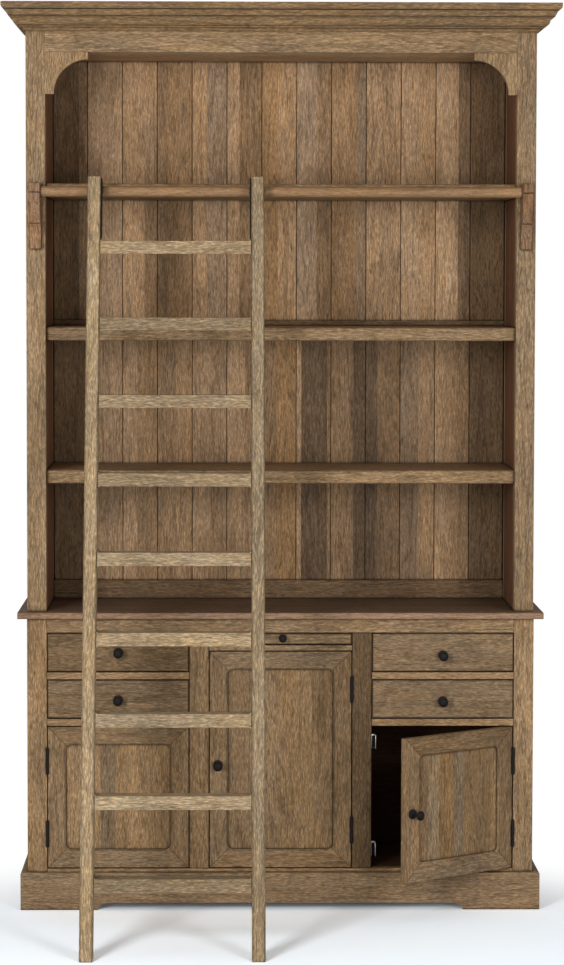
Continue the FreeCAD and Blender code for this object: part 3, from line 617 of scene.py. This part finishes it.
def brushed_wood(name, colour, contrast=1.0, lime=1.0, blushing=1.0, dullness=0.8):
    """Wire-brushed, limed mango: open dark pores, pale lime in the grain, heart and sap wood in patches."""
    material, tree = new_material(name)
    grain = add_node(tree, "Attribute", attribute_name="grain").outputs["Vector"]
    board = add_node(tree, "Attribute", attribute_name="board")
    board = add_node(tree, "SeparateXYZ", [board.outputs["Vector"]]).outputs
    light, warmth = board["X"], board["Y"]

    # Growth rings: a slow swell folded over and over into dark lines that run up the board and close in
    # arches, on a mottle as wide as a hand
    figure = grained_noise(tree, grain, 40, 460, 3, 0.5, 0.8)
    rings = add_node(tree, "Math", [figure, 8.0], operation="MULTIPLY")
    rings = add_node(tree, "Math", [rings, 0.5], operation="PINGPONG")
    rings = add_node(tree, "MapRange", [rings, 0.0, 0.2, 1 - 0.32 * contrast, 1 + 0.02 * contrast])
    cloud = grained_noise(tree, grain, 60, 190, 2)
    mottle = add_node(tree, "MapRange", [cloud, 0.3, 0.7, 1 - 0.16 * contrast, 1 + 0.16 * contrast])

    # Streaks of early and late wood, then open pores and lime flecks. Real pores are a few tenths of a
    # millimetre wide; both are drawn several times as coarse so that they show from a step away
    streaks = grained_noise(tree, grain, 4.5, 60, 4, 0.65, 0.3)
    bands = add_node(tree, "MapRange", [streaks, 0.28, 0.72, 1 - 0.18 * contrast, 1 + 0.18 * contrast])
    pores = grained_noise(tree, grain, 2.2, 18, 2, 0.6)
    pits = add_node(tree, "MapRange", [pores, 0.30, 0.50, 1 - 0.50 * contrast, 1.0])
    specks = grained_noise(tree, grain, 2.8, 15, 2, 0.6, 0.2)
    limed = add_node(tree, "MapRange", [specks, 0.46, 0.66, 0.0, 0.85 * lime])

    # Painted shade in the corners and gaps where boards meet, from an ambient occlusion node
    near = add_node(tree, "AmbientOcclusion", {"Distance": 8 * MM}, samples=6)
    painted_crevice_shade = add_node(tree, "MapRange", [near.outputs["AO"], 0.38, 0.86, 0.07, 1.0])

    shade = light
    for part in (rings, mottle, bands, pits, painted_crevice_shade):
        shade = add_node(tree, "Math", [shade, part], operation="MULTIPLY")

    # Heartwood is redder and sapwood greyer, by the stave, in slow patches and from fibre to fibre
    blush = grained_noise(tree, grain, 42, 170, 2, 0.5, 0.6)
    blush = add_node(tree, "MapRange", [blush, 0.3, 0.7, -0.6 * blushing, 0.6 * blushing])
    fibres = grained_noise(tree, grain, 6, 24, 1)
    fibres = add_node(tree, "MapRange", [fibres, 0.3, 0.7, -0.35, 0.35])
    stain = add_node(tree, "MapRange", [pits, 0.5, 1.0, 1.0, 0.0])
    warm = warmth
    for part in (stain, blush, fibres):
        warm = add_node(tree, "Math", [warm, part], operation="ADD")
    red = add_node(tree, "MapRange", [warm, -2.0, 2.0, 0.91, 1.12])
    blue = add_node(tree, "MapRange", [warm, -2.0, 2.0, 1.16, 0.78])
    tint = add_node(tree, "CombineXYZ", [red, 1.0, blue])
    base = add_node(tree, "VectorMath", [colour[:3], tint], operation="MULTIPLY")
    pale = add_node(tree, "Math", [shade, 1.85], operation="MULTIPLY")
    shade = add_node(tree, "Mix", {0: limed, 2: shade, 3: pale})
    base = add_node(tree, "VectorMath", {0: base, "Scale": shade}, operation="SCALE")

    relief = add_node(tree, "Math", [streaks, pores], operation="ADD")
    bump = add_node(tree, "Bump", {"Strength": 0.5, "Distance": 0.5 * MM, "Height": relief})
    dull = add_node(tree, "MapRange", [streaks, 0.3, 0.7, dullness + 0.06, dullness - 0.08])
    shader = add_node(
        tree, "BsdfPrincipled",
        {"Base Color": base, "Roughness": dull, "Normal": bump, "IOR": 1.45, "Specular IOR Level": 0.25},
    )
    add_node(tree, "OutputMaterial", [shader])
    return material


def object_noise(tree, size_mm, detail, roughness=0.5):
    """Even noise on the object's own coordinates, for features of a real size."""
    place = add_node(tree, "TexCoord").outputs["Object"]
    inputs = {"Vector": place, "Scale": 1 / (size_mm * MM), "Detail": detail, "Roughness": roughness}
    return add_node(tree, "TexNoise", inputs)


def black_iron(name, colour):
    """Hand-forged iron, blacked and waxed: a soft uneven gloss with brown where it is handled."""
    material, tree = new_material(name)
    hammer = object_noise(tree, 3.5, 2)
    rust = add_node(tree, "MapRange", [object_noise(tree, 9, 3, 0.6), 0.55, 0.8, 0.0, 0.15])
    base = add_node(tree, "Mix", {0: rust, 6: colour, 7: linear("2e2119")}, data_type="RGBA")
    dull = add_node(tree, "MapRange", [hammer, 0.3, 0.7, 0.12, 0.30])
    bump = add_node(tree, "Bump", {"Strength": 0.35, "Distance": 0.4 * MM, "Height": hammer})
    wax = {"Coat Weight": 0.03, "Coat Roughness": 0.05, "Coat Normal": bump}
    inputs = {"Base Color": base.outputs[2], "Metallic": 1.0, "Roughness": dull, "Normal": bump, **wax}
    shader = add_node(tree, "BsdfPrincipled", inputs)
    add_node(tree, "OutputMaterial", [shader])
    return material


def bright_steel(name, colour):
    """Zinc-plated pressed steel: pale, satin, with fine rolling marks."""
    material, tree = new_material(name)
    marks = object_noise(tree, 1.6, 2)
    rolled = add_node(tree, "MapRange", [marks, 0.3, 0.7])
    base = add_node(tree, "Mix", {0: rolled, 6: shade_of(colour, 0.8), 7: colour}, data_type="RGBA")
    dull = add_node(tree, "MapRange", [marks, 0.3, 0.7, 0.28, 0.42])
    inputs = {"Base Color": base.outputs[2], "Metallic": 0.9, "Roughness": dull}
    shader = add_node(tree, "BsdfPrincipled", inputs)
    add_node(tree, "OutputMaterial", [shader])
    return material


# How each wood differs from plain brushed mango
WOODS = {
    "case_wood": {},
    "back_wood": {"lime": 0.8},
    "inner_wood": {"contrast": 0.8, "lime": 0.4},
    "red_wood": {"contrast": 1.2, "lime": 0.6, "blushing": 2.2, "dullness": 0.7},
    "pole_wood": {"contrast": 0.7, "lime": 0.5, "dullness": 0.38},
    "counter_wood": {"contrast": 0.8, "lime": 0.6},
    "ladder_wood": {"contrast": 0.9, "lime": 1.2},
}
METALS = {"black_iron": black_iron, "catch_steel": bright_steel}


def material_of(finish):
    """Material of a finish, made the first time that it is asked for."""
    name = "brushed_" + finish if finish in WOODS else finish
    if name not in bpy.data.materials:
        colour = tuple(getattr(bpy.context.scene.bookcase_finishes, finish))
        if finish in WOODS:
            brushed_wood(name, colour, **WOODS[finish])
        else:
            METALS[finish](name, colour)
    return bpy.data.materials[name]


# Operators, one for each group of pieces

class BOOKCASE_OT_case(Operator):
    """Boards of the hutch and of the base that stay where they are"""

    bl_idname = "bookcase.case"
    bl_label = "Case boards"

    def execute(self, context):
        sizes = context.scene.bookcase_sizes
        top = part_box("cornice")[1].z
        quirks = (top - sizes.cornice_quirk, top - sizes.cornice_low_quirk)
        plain, upright, level = Look(), Look("z"), Look("x")
        # Edge factors under 1 paint shade along the shelves', rails' and mullions' edges as dark gap lines,
        # and creases paint shade in the cornice's and plinth's hollows, with painted shadow lines at the
        # cornice's quirks
        for nodes, finish, look, tones in (
            (("cornice",), "case_wood", Look(crease=sizes.cornice_crease, quirks=quirks), ("rust",)),
            (("hutch_posts",), "case_wood", plain, ("oat",)),
            (("hutch_top_boards",), "case_wood", plain, ("bleached",)),
            (("hutch_side_rails", "frieze_rail"), "case_wood", plain, ("tan",)),
            (("base_posts", "base_side_rails"), "case_wood", plain, ("tan",)),
            (("hutch_shelves",), "case_wood", Look(wear=0.75), ("tan",)),
            (("hutch_side_panels", "base_side_panels", "arch_spandrels"), "case_wood", upright, ("tan",)),
            (("base_rails",), "case_wood", Look(wear=0.3), ("tan",)),
            (("base_mullions",), "case_wood", Look(wear=0.3), ("dim", "umber")),
            (("plinth",), "case_wood", Look(crease=sizes.plinth_crease), ("olive",)),
            (("hutch_linings",), "inner_wood", upright, ("bleached", "pale")),
            (("base_linings", "base_partitions"), "inner_wood", upright, ("umber",)),
            (("base_bottom_board", "base_back_panel", "drawer_supports"), "inner_wood", level, ("umber",)),
            (("back_rails",), "back_wood", level, ("umber",)),
            # The countertop's upward face is painted darker as painted shade under the hutch, and its eased
            # edges get a little painted shade
            (("countertop",), "counter_wood", Look("x", top=0.48, wear=0.9), ("pale",)),
        ):
            for node in nodes:
                eased_node(node, "case", finish, look, tones)
        return {"FINISHED"}


class BOOKCASE_OT_back(Operator):
    """Tongued and grooved boards of the hutch's back, in two lengths that meet behind a shelf's batten"""

    bl_idname = "bookcase.back"
    bl_label = "Back boards"

    def execute(self, context):
        chance = random.Random("back_boards")
        look = Look("z")
        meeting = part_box("back_rails")[1].z - 15 * MM
        solids = sorted(solids_of("back_boards"), key=leftmost)
        boards = []
        for (corners, faces), *lengths in zip(solids, UPPER_STAVES, LOWER_STAVES):
            for staves, upper in zip(lengths, (True, False)):
                boards.append(finished_board(
                    corners, faces, "back_board", look, chance, staves=staves, length=(meeting, upper)
                ))
        piece = joined(boards, "back_boards_finished")
        dress(piece, "back_wood", "case")
        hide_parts("back_boards")
        return {"FINISHED"}


class BOOKCASE_OT_fronts(Operator):
    """Doors, drawers and the pull-out tray"""

    bl_idname = "bookcase.fronts"
    bl_label = "Doors and drawers"

    def execute(self, context):
        crease = context.scene.bookcase_sizes.door_crease
        for door in DOORS:
            turn = door_turn(door)
            # Doors' edges are darkened as painted shade along the gaps, less on the ajar right door whose
            # free edge faces the light; creases paint a dark line of shade round each panel, and drawers and
            # the tray get painted edge shade too
            wear = 0.85 if door == "right_door" else 0.4
            look = Look(turn=turn, wear=wear, crease=crease)
            eased_node(door + "_frame", door, "case_wood", look, FRAME_TONES[door])
            eased_node(door + "_panel", door, "case_wood", Look("z", turn), staves=PANEL_STAVES[door])
        for drawer, tone in (
            ("left_upper_drawer", "deep"), ("left_lower_drawer", "shade"),
            ("right_upper_drawer", "shade"), ("right_lower_drawer", "shade"),
        ):
            eased_node(drawer + "_front", drawer, "case_wood", Look("x", wear=0.55), (tone,))
            eased_node(drawer + "_box", drawer, "inner_wood")
        eased_node("tray_front", "tray", "case_wood", Look("x", wear=0.4), ("dim",))
        eased_node("tray_board", "tray", "inner_wood", Look("x"))
        return {"FINISHED"}


class BOOKCASE_OT_ladder(Operator):
    """Stiles and treads of the ladder, with its hooks"""

    bl_idname = "bookcase.ladder"
    bl_label = "Ladder"

    def execute(self, context):
        sizes = context.scene.bookcase_sizes
        ease = sizes.ladder_ease
        # Edges of the stiles and treads are darkened as painted shade along their outlines, and the stiles'
        # rounded feet as painted shade
        stiles = Look("z", ladder_lean(), ease, wear=0.55, foot=sizes.foot_round)
        eased_node("ladder_stiles", "ladder", "ladder_wood", stiles, ("tan", "shade"))
        treads = Look("x", ease=ease, wear=0.55, spread=0.05)
        eased_node("ladder_rungs", "ladder", "ladder_wood", treads, RUNG_TONES)
        paint(frame["nodes"]["ladder_hooks"], "black_iron")
        return {"FINISHED"}


class BOOKCASE_OT_pole(Operator):
    """Round pole and the two corbels that carry it"""

    bl_idname = "bookcase.pole"
    bl_label = "Pole and corbels"

    def execute(self, context):
        # The corbels' hollows and eased edges are painted dark as painted shade
        corbel = Look("z", crease=context.scene.bookcase_sizes.corbel_crease, wear=0.4)
        eased_node("pole_brackets", "case", "red_wood", corbel, ("tan", "shade"))
        eased_node("ladder_pole", "pole", "pole_wood", Look("x"))
        return {"FINISHED"}


class BOOKCASE_OT_knobs(Operator):
    """Turned iron knobs of the doors, drawers and tray"""

    bl_idname = "bookcase.knobs"
    bl_label = "Knobs"

    def execute(self, context):
        pattern = turned_knob(context.scene.bookcase_sizes)
        for node in sorted(frame["nodes"]):
            if node.endswith("_knob"):
                body = node[:-len("_knob")]
                self.place(pattern, node, body)
        bpy.data.objects.remove(pattern)
        return {"FINISHED"}

    def place(self, pattern, node, body):
        """Puts one knob where its node is, square to the front that carries it."""
        turn = door_turn(body)
        low, high = turned_box(corners_of(node), turn)
        seat = turn @ Vector(((low.x + high.x) / 2, high.y, (low.z + high.z) / 2))
        facing = turn.to_4x4() @ Matrix.Rotation(math.radians(90), 4, "X")
        share = (high.z - low.z) / (2 * bpy.context.scene.bookcase_sizes.knob_head_radius)
        size = Matrix.Diagonal((share, share, share, 1))
        piece = placed_copy(pattern, node + "_turned", Matrix.Translation(seat) @ facing @ size)
        dress(piece, "black_iron", body)
        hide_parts(node)


def upright_cylinder(radius, length, middle, sides):
    """Upright cylinder on the origin's axis, with its middle at a height."""
    bpy.ops.object.select_all(action="DESELECT")
    bpy.ops.mesh.primitive_cylinder_add(vertices=sides, radius=radius, depth=length, location=(0, 0, middle))
    bpy.ops.object.transform_apply()
    return bpy.context.active_object


def turned_knob(sizes):
    """Knob on the origin that points up: rose, waisted neck and domed head."""
    rose, neck, head = sizes.knob_rose_radius, sizes.knob_neck_radius, sizes.knob_head_radius
    dome = sizes.knob_dome_height
    piece = upright_cylinder(rose, sizes.knob_rose_height, sizes.knob_rose_height / 2, 40)
    edit(piece)
    select_where(piece, "FACE", lambda face: face.normal.z > 0.9)

    # Rings from the rose to the head, each with its height over the last one and its radius
    rings = [(0.0, neck * 1.25), (0.8 * MM, neck), (sizes.knob_neck_length - 0.8 * MM, neck)]
    steps = 6
    for step in range(1, steps + 1):
        swell = (head - neck) * (1 - math.cos(math.pi / 2 * step / steps))
        rings.append((sizes.knob_flare_length / steps, neck + swell))
    rings += [(sizes.knob_rim_height, head), (0.4 * dome, head * 0.93)]
    rings += [(0.0, head * 0.84), (-0.5 * dome, head * 0.76)]
    domes = 5
    risen = -0.1 * dome
    for step in range(1, domes + 1):
        turn = math.pi / 2 * step / (domes + 1)
        rise = dome * math.sin(turn)
        rings.append((rise - risen, head * math.cos(turn) * 0.74))
        risen = rise
    radius = rose
    for height, next_radius in rings:
        bpy.ops.mesh.extrude_region_move(TRANSFORM_OT_translate={"value": (0, 0, height)})
        share = next_radius / radius
        bpy.ops.transform.resize(value=(share, share, 1))
        radius = next_radius

    def sharp_ring(edge):
        out = edge.verts[0].co.xy.length
        return edge.calc_face_angle(0) > math.radians(50) and out > rose * 0.9 and edge.verts[0].co.z > 0

    select_where(piece, "EDGE", sharp_ring)
    bpy.ops.mesh.bevel(offset=0.7 * MM, segments=3, affect="EDGES")
    bpy.ops.mesh.select_all(action="SELECT")
    bpy.ops.mesh.remove_doubles(threshold=SEAM)
    bpy.ops.mesh.normals_make_consistent(inside=False)
    close_edit()
    return piece


class BOOKCASE_OT_hinges(Operator):
    """Butt hinges of the doors, with their screws"""

    bl_idname = "bookcase.hinges"
    bl_label = "Hinges"

    def execute(self, context):
        sizes = context.scene.bookcase_sizes
        screw = slotted_screw(sizes)
        nodes = {"hinge_frame_leaves": "case"}
        for door in DOORS:
            nodes[door + "_hinge_leaves"] = door
        for node, body in nodes.items():
            self.ease(node, body, sizes.iron_ease)
            spots = [spot for corners, faces in solids_of(node) for spot in self.screw_spots(corners, body)]
            fasten(screw, node.replace("leaves", "screws"), spots, body)
        bpy.data.objects.remove(screw)
        return {"FINISHED"}

    def ease(self, node, body, width):
        """Stands in for hinge halves with round knuckles and softened leaves."""
        halves = []
        for corners, faces in solids_of(node):
            half = whole_solid(node, corners, faces)
            ease_edges(half, width, outer_edge)
            close_edit()
            halves.append(half)
        piece = joined(halves, node + "_eased")
        dress(piece, "black_iron", body)
        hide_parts(node)

    def screw_spots(self, corners, body):
        """Places of a leaf's three screws, on the face that meets the other leaf."""
        swing = Matrix.Identity(4) if body == "case" else door_swing(body)
        shut = [swing.inverted() @ corner for corner in corners]
        low, high = turned_box(shut)
        pin = (low.x + high.x) / 2
        plate = [corner.x for corner in shut if corner.y > high.y - MM]
        face = min(plate, key=lambda place: abs(place - pin))
        facing = swing.to_3x3() @ Vector((math.copysign(1, pin - face), 0, 0))
        inset = (high.z - low.z) / 6
        back = high.y - (high.y - low.y) / 3
        levels = (low.z + inset, (low.z + high.z) / 2, high.z - inset)
        return [(swing @ Vector((face, back, level)), facing) for level in levels]


def slotted_screw(sizes):
    """Countersunk screw on the origin that points up, its head a hair proud and its slot along X."""
    length = 4 * sizes.screw_slot
    proud = 0.02 * sizes.screw_slot
    piece = upright_cylinder(sizes.screw_radius, length, proud - length / 2, 20)
    edit(piece)
    for side in (-1, 1):
        cut((0, side * sizes.screw_slot / 2, 0), (0, 1, 0))

    def in_slot(face):
        return face.normal.z > 0.9 and abs(face.calc_center_median().y) < sizes.screw_slot / 2

    select_where(piece, "FACE", in_slot)
    bpy.ops.mesh.extrude_region_move(TRANSFORM_OT_translate={"value": (0, 0, -sizes.screw_slot)})
    bpy.ops.mesh.select_all(action="SELECT")
    bpy.ops.mesh.normals_make_consistent(inside=False)
    close_edit()
    return piece


def fasten(screw, name, spots, body):
    """Drives a screw at each spot, a place and the way that its head faces, with its slot at any turn."""
    chance = random.Random(name)
    screws = []
    for place, facing in spots:
        slot_turn = Matrix.Rotation(chance.uniform(0, math.pi), 4, "Z")
        stand = Matrix.Translation(place) @ facing.to_track_quat("Z", "Y").to_matrix().to_4x4() @ slot_turn
        screws.append(placed_copy(screw, name, stand))
    piece = joined(screws, name)
    dress(piece, "black_iron", body)
    return piece


class BOOKCASE_OT_screws(Operator):
    """Screws of the ladder's hooks and of the back"""

    bl_idname = "bookcase.screws"
    bl_label = "Screws"

    def execute(self, context):
        screw = slotted_screw(context.scene.bookcase_sizes)
        fasten(screw, "hook_screws", self.hook_spots(), "ladder")
        fasten(screw, "back_screws", self.back_spots(), "case")
        bpy.data.objects.remove(screw)
        return {"FINISHED"}

    def hook_spots(self):
        """Two places on each hook's flat, along the stile that it is screwed to."""
        low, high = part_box("ladder_hooks")
        middle = (low.x + high.x) / 2
        along = ladder_lean() @ Vector((0, 0, 1))
        spots = []
        for corners, faces in solids_of("ladder_hooks"):
            ends = sorted(corner.x for corner in corners)
            face = min((ends[0], ends[-1]), key=lambda place: abs(place - middle))
            facing = Vector((math.copysign(1, middle - face), 0, 0))
            foot = [corner for corner in corners if corner.z < low.z + 12 * MM]
            centre = sum(foot, Vector()) / len(foot)
            for rise in (14 * MM, 62 * MM):
                place = centre + along * rise
                spots.append((Vector((face, place.y, place.z)), facing))
        return spots

    def back_spots(self):
        """Places where the back boards are screwed to shelves and rails, and the base's back to its case."""
        facing = Vector((0, 1, 0))
        low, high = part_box("back_boards")
        levels = [low.z + 20 * MM, high.z - 20 * MM]
        for corners, faces in solids_of("hutch_shelves"):
            bottom, top = turned_box(corners)
            levels.append((bottom.z + top.z) / 2)
        count = len(UPPER_STAVES)
        pitch = (high.x - low.x) / count
        spots = [
            (Vector((low.x + (board + 0.5) * pitch, high.y, level)), facing)
            for board in range(count) for level in levels
        ]
        low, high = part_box("base_back_panel")
        inset = 12 * MM
        steps = 6
        for step in range(steps + 1):
            across = low.x + inset + (high.x - low.x - 2 * inset) * step / steps
            spots += [(Vector((across, high.y, level)), facing) for level in (low.z + inset, high.z - inset)]
        return spots


def cuboid(name, low, high):
    """Block between two corners."""
    bpy.ops.object.select_all(action="DESELECT")
    bpy.ops.mesh.primitive_cube_add(size=1, location=(low + high) / 2, scale=high - low)
    piece = bpy.context.active_object
    piece.name = name
    bpy.ops.object.transform_apply()
    return piece


def shaped(piece, kind, **settings):
    """Applies a modifier with its settings to a piece."""
    use_alone(piece)
    modifier = piece.modifiers.new(kind.lower(), kind)
    for name, value in settings.items():
        setattr(modifier, name, value)
    bpy.ops.object.modifier_apply(modifier=modifier.name)


class BOOKCASE_OT_catches(Operator):
    """Spring catches beside the doors' free edges, and the strike plates that they grip"""

    bl_idname = "bookcase.catches"
    bl_label = "Catches"

    def execute(self, context):
        sizes = context.scene.bookcase_sizes
        screw = slotted_screw(sizes)
        boxes = [turned_box(corners) for corners, faces in solids_of("door_catches")]
        boxes.sort(key=lambda box: (round(box[0].x, 3), box[0].z))
        clips = [self.clip(low, high, sizes) for low, high in boxes]
        piece = joined(clips, "catch_clips")
        dress(piece, "catch_steel", "case")
        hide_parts("door_catches")
        rollers = [self.roller(low, high, sizes) for low, high in boxes]
        dress(joined(rollers, "catch_rollers"), "black_iron", "case")
        for number, door in enumerate(DOORS):
            self.strikes(door, boxes[2 * number:2 * number + 2], screw, sizes)
        bpy.data.objects.remove(screw)
        return {"FINISHED"}

    def clip(self, low, high, sizes):
        """Steel clip bent to a U that opens to the front."""
        piece = cuboid("catch_clip", low, high)
        edit(piece)
        select_where(piece, "FACE", lambda face: face.normal.y < -0.9 or abs(face.normal.z) > 0.9)
        bpy.ops.mesh.delete(type="FACE")
        close_edit()
        shaped(piece, "SOLIDIFY", thickness=sizes.catch_wall, offset=-1)
        shaped(piece, "BEVEL", width=sizes.iron_ease, segments=2)
        return piece

    def roller(self, low, high, sizes):
        """Sprung block between the clip's jaws."""
        room = Vector((1.4 * sizes.catch_wall, 0, 2 * sizes.catch_wall))
        front = Vector((0, 3 * sizes.catch_wall, 0))
        back = Vector((0, sizes.catch_wall, 0))
        piece = cuboid("catch_roller", low + room + front, high - room - back)
        shaped(piece, "BEVEL", width=sizes.catch_wall / 2, segments=3)
        return piece

    def strikes(self, door, boxes, screw, sizes):
        """Thin plates let into the back of a door's stile, each with two screws."""
        swing = door_swing(door)
        shut = [swing.inverted() @ corner for corner in corners_of(door + "_frame")]
        door_low, door_high = turned_box(shut)
        inset = 2 * sizes.iron_ease
        facing = swing.to_3x3() @ Vector((0, 1, 0))
        plates, spots = [], []
        for low, high in boxes:
            left = max(low.x, door_low.x + inset)
            right = min(high.x, door_high.x - inset)
            back = door_high.y + 0.05 * MM
            front = back - sizes.strike_thickness
            plate = cuboid("strike", Vector((left, front, low.z)), Vector((right, back, high.z)))
            shaped(plate, "BEVEL", width=sizes.iron_ease, segments=2)
            plate.data.transform(swing)
            plates.append(plate)
            for level in (low.z + 7 * MM, high.z - 7 * MM):
                spots.append((swing @ Vector(((left + right) / 2, back, level)), facing))
        dress(joined(plates, door + "_strikes"), "catch_steel", door)
        fasten(screw, door + "_strike_screws", spots, door)


class BOOKCASE_OT_stage(Operator):
    """Pale floor, white surroundings, soft lamps and the camera"""

    bl_idname = "bookcase.stage"
    bl_label = "Stage"

    def execute(self, context):
        self.floor(context)
        self.surroundings(context)
        for name, place, power in LAMPS:
            self.lamp(context, name, place, power)
        self.camera(context)
        return {"FINISHED"}

    def floor(self, context):
        """Wide floor at the plinth's foot."""
        bpy.ops.mesh.primitive_plane_add(size=60.0, location=(0, 0, 0))
        piece = context.active_object
        piece.name = "floor"
        material, tree = new_material("studio_floor")
        colour = tuple(context.scene.bookcase_finishes.floor_white)
        shader = add_node(tree, "BsdfDiffuse", {"Color": colour})

        # To the camera the floor is over twice as bright, and fades to white away from the bookcase
        seen = add_node(tree, "LightPath").outputs["Is Camera Ray"]
        gain = add_node(tree, "Math", [seen, FLOOR_GAIN], operation="MULTIPLY")
        gain = add_node(tree, "VectorMath", {0: colour[:3], "Scale": gain}, operation="SCALE")
        lift = add_node(tree, "BsdfDiffuse", {"Color": gain})
        both = add_node(tree, "AddShader", [shader, lift])
        place = add_node(tree, "TexCoord").outputs["Object"]
        away = add_node(tree, "VectorMath", [place, FLOOR_MIDDLE], operation="DISTANCE")
        inputs = [away.outputs["Value"], FADE_NEAR, FADE_FAR]
        fade = add_node(tree, "MapRange", inputs, interpolation_type="SMOOTHSTEP")
        fade = add_node(tree, "Math", [fade, seen], operation="MULTIPLY")
        white = add_node(tree, "Emission", {"Color": (1, 1, 1, 1), "Strength": 1.0})
        surface = add_node(tree, "MixShader", [fade, both, white])
        add_node(tree, "OutputMaterial", [surface])
        piece.data.materials.append(material)

    def surroundings(self, context):
        """World that is white to look at and a softer light for everything else."""
        world = bpy.data.worlds.new("studio")
        world.use_nodes = True
        tree = world.node_tree
        tree.nodes.clear()
        path = add_node(tree, "LightPath")
        seen = path.outputs["Is Camera Ray"]
        for ray in ("Is Glossy Ray", "Is Transmission Ray"):
            seen = add_node(tree, "Math", [seen, path.outputs[ray]], operation="MAXIMUM")
        strength = add_node(tree, "MapRange", [seen, 0.0, 1.0, SOFT_LIGHT, 1.0])
        light = add_node(tree, "Background", [(1, 1, 1, 1), strength])
        add_node(tree, "OutputWorld", [light])
        context.scene.world = world

    def lamp(self, context, name, place, power):
        """Tall soft lamp that faces the middle of the case."""
        bpy.ops.object.light_add(type="AREA", location=place)
        lamp = context.active_object
        lamp.name = name
        lamp.data.shape = "RECTANGLE"
        lamp.data.size, lamp.data.size_y = LAMP_SIZE
        lamp.data.energy = power
        aim = Vector(LAMP_AIM) - Vector(place)
        lamp.rotation_euler = aim.to_track_quat("-Z", "Y").to_euler()

    def camera(self, context):
        """Camera at the height of a standing eye, as far off and as long as the photograph's."""
        bpy.ops.object.camera_add()
        camera = context.active_object
        camera.data.sensor_fit = "HORIZONTAL"
        camera.data.sensor_width = SENSOR_WIDTH
        camera.data.lens = SENSOR_WIDTH * CAMERA_REACH
        camera.data.clip_end = 200.0
        yaw = Matrix.Rotation(math.radians(CAMERA_YAW), 4, "Z")
        pitch = Matrix.Rotation(math.radians(90 - CAMERA_DIP), 4, "X")
        roll = Matrix.Rotation(math.radians(CAMERA_ROLL), 4, "Z")
        camera.matrix_world = Matrix.Translation(CAMERA_PLACE) @ yaw @ pitch @ roll
        context.scene.camera = camera
        context.scene.view_settings.view_transform = "Standard"


class BOOKCASE_PT_pieces(Panel):
    """Lists the operators that dress the bookcase"""

    bl_label = "Bookcase"
    bl_space_type = "VIEW_3D"
    bl_region_type = "UI"
    bl_category = "Bookcase"

    def draw(self, context):
        for step in STEPS:
            self.layout.operator(step.bl_idname)


STEPS = (
    BOOKCASE_OT_case, BOOKCASE_OT_back, BOOKCASE_OT_fronts, BOOKCASE_OT_ladder, BOOKCASE_OT_pole,
    BOOKCASE_OT_knobs, BOOKCASE_OT_hinges, BOOKCASE_OT_catches, BOOKCASE_OT_screws, BOOKCASE_OT_stage,
)
CLASSES = (BookcaseFinishes, BookcaseSizes) + STEPS + (BOOKCASE_PT_pieces,)


def register():
    """Registers the classes and hangs the settings on the scene."""
    for one in CLASSES:
        bpy.utils.register_class(one)
    bpy.types.Scene.bookcase_finishes = PointerProperty(type=BookcaseFinishes)
    bpy.types.Scene.bookcase_sizes = PointerProperty(type=BookcaseSizes)


def unregister():
    """Takes the settings and the classes away again."""
    del bpy.types.Scene.bookcase_sizes
    del bpy.types.Scene.bookcase_finishes
    for one in reversed(CLASSES):
        bpy.utils.unregister_class(one)


def main():
    """Dresses the whole bookcase."""
    register()
    for step in STEPS:
        group, name = step.bl_idname.split(".")
        getattr(getattr(bpy.ops, group), name)()


if __name__ == "__main__":
    main()
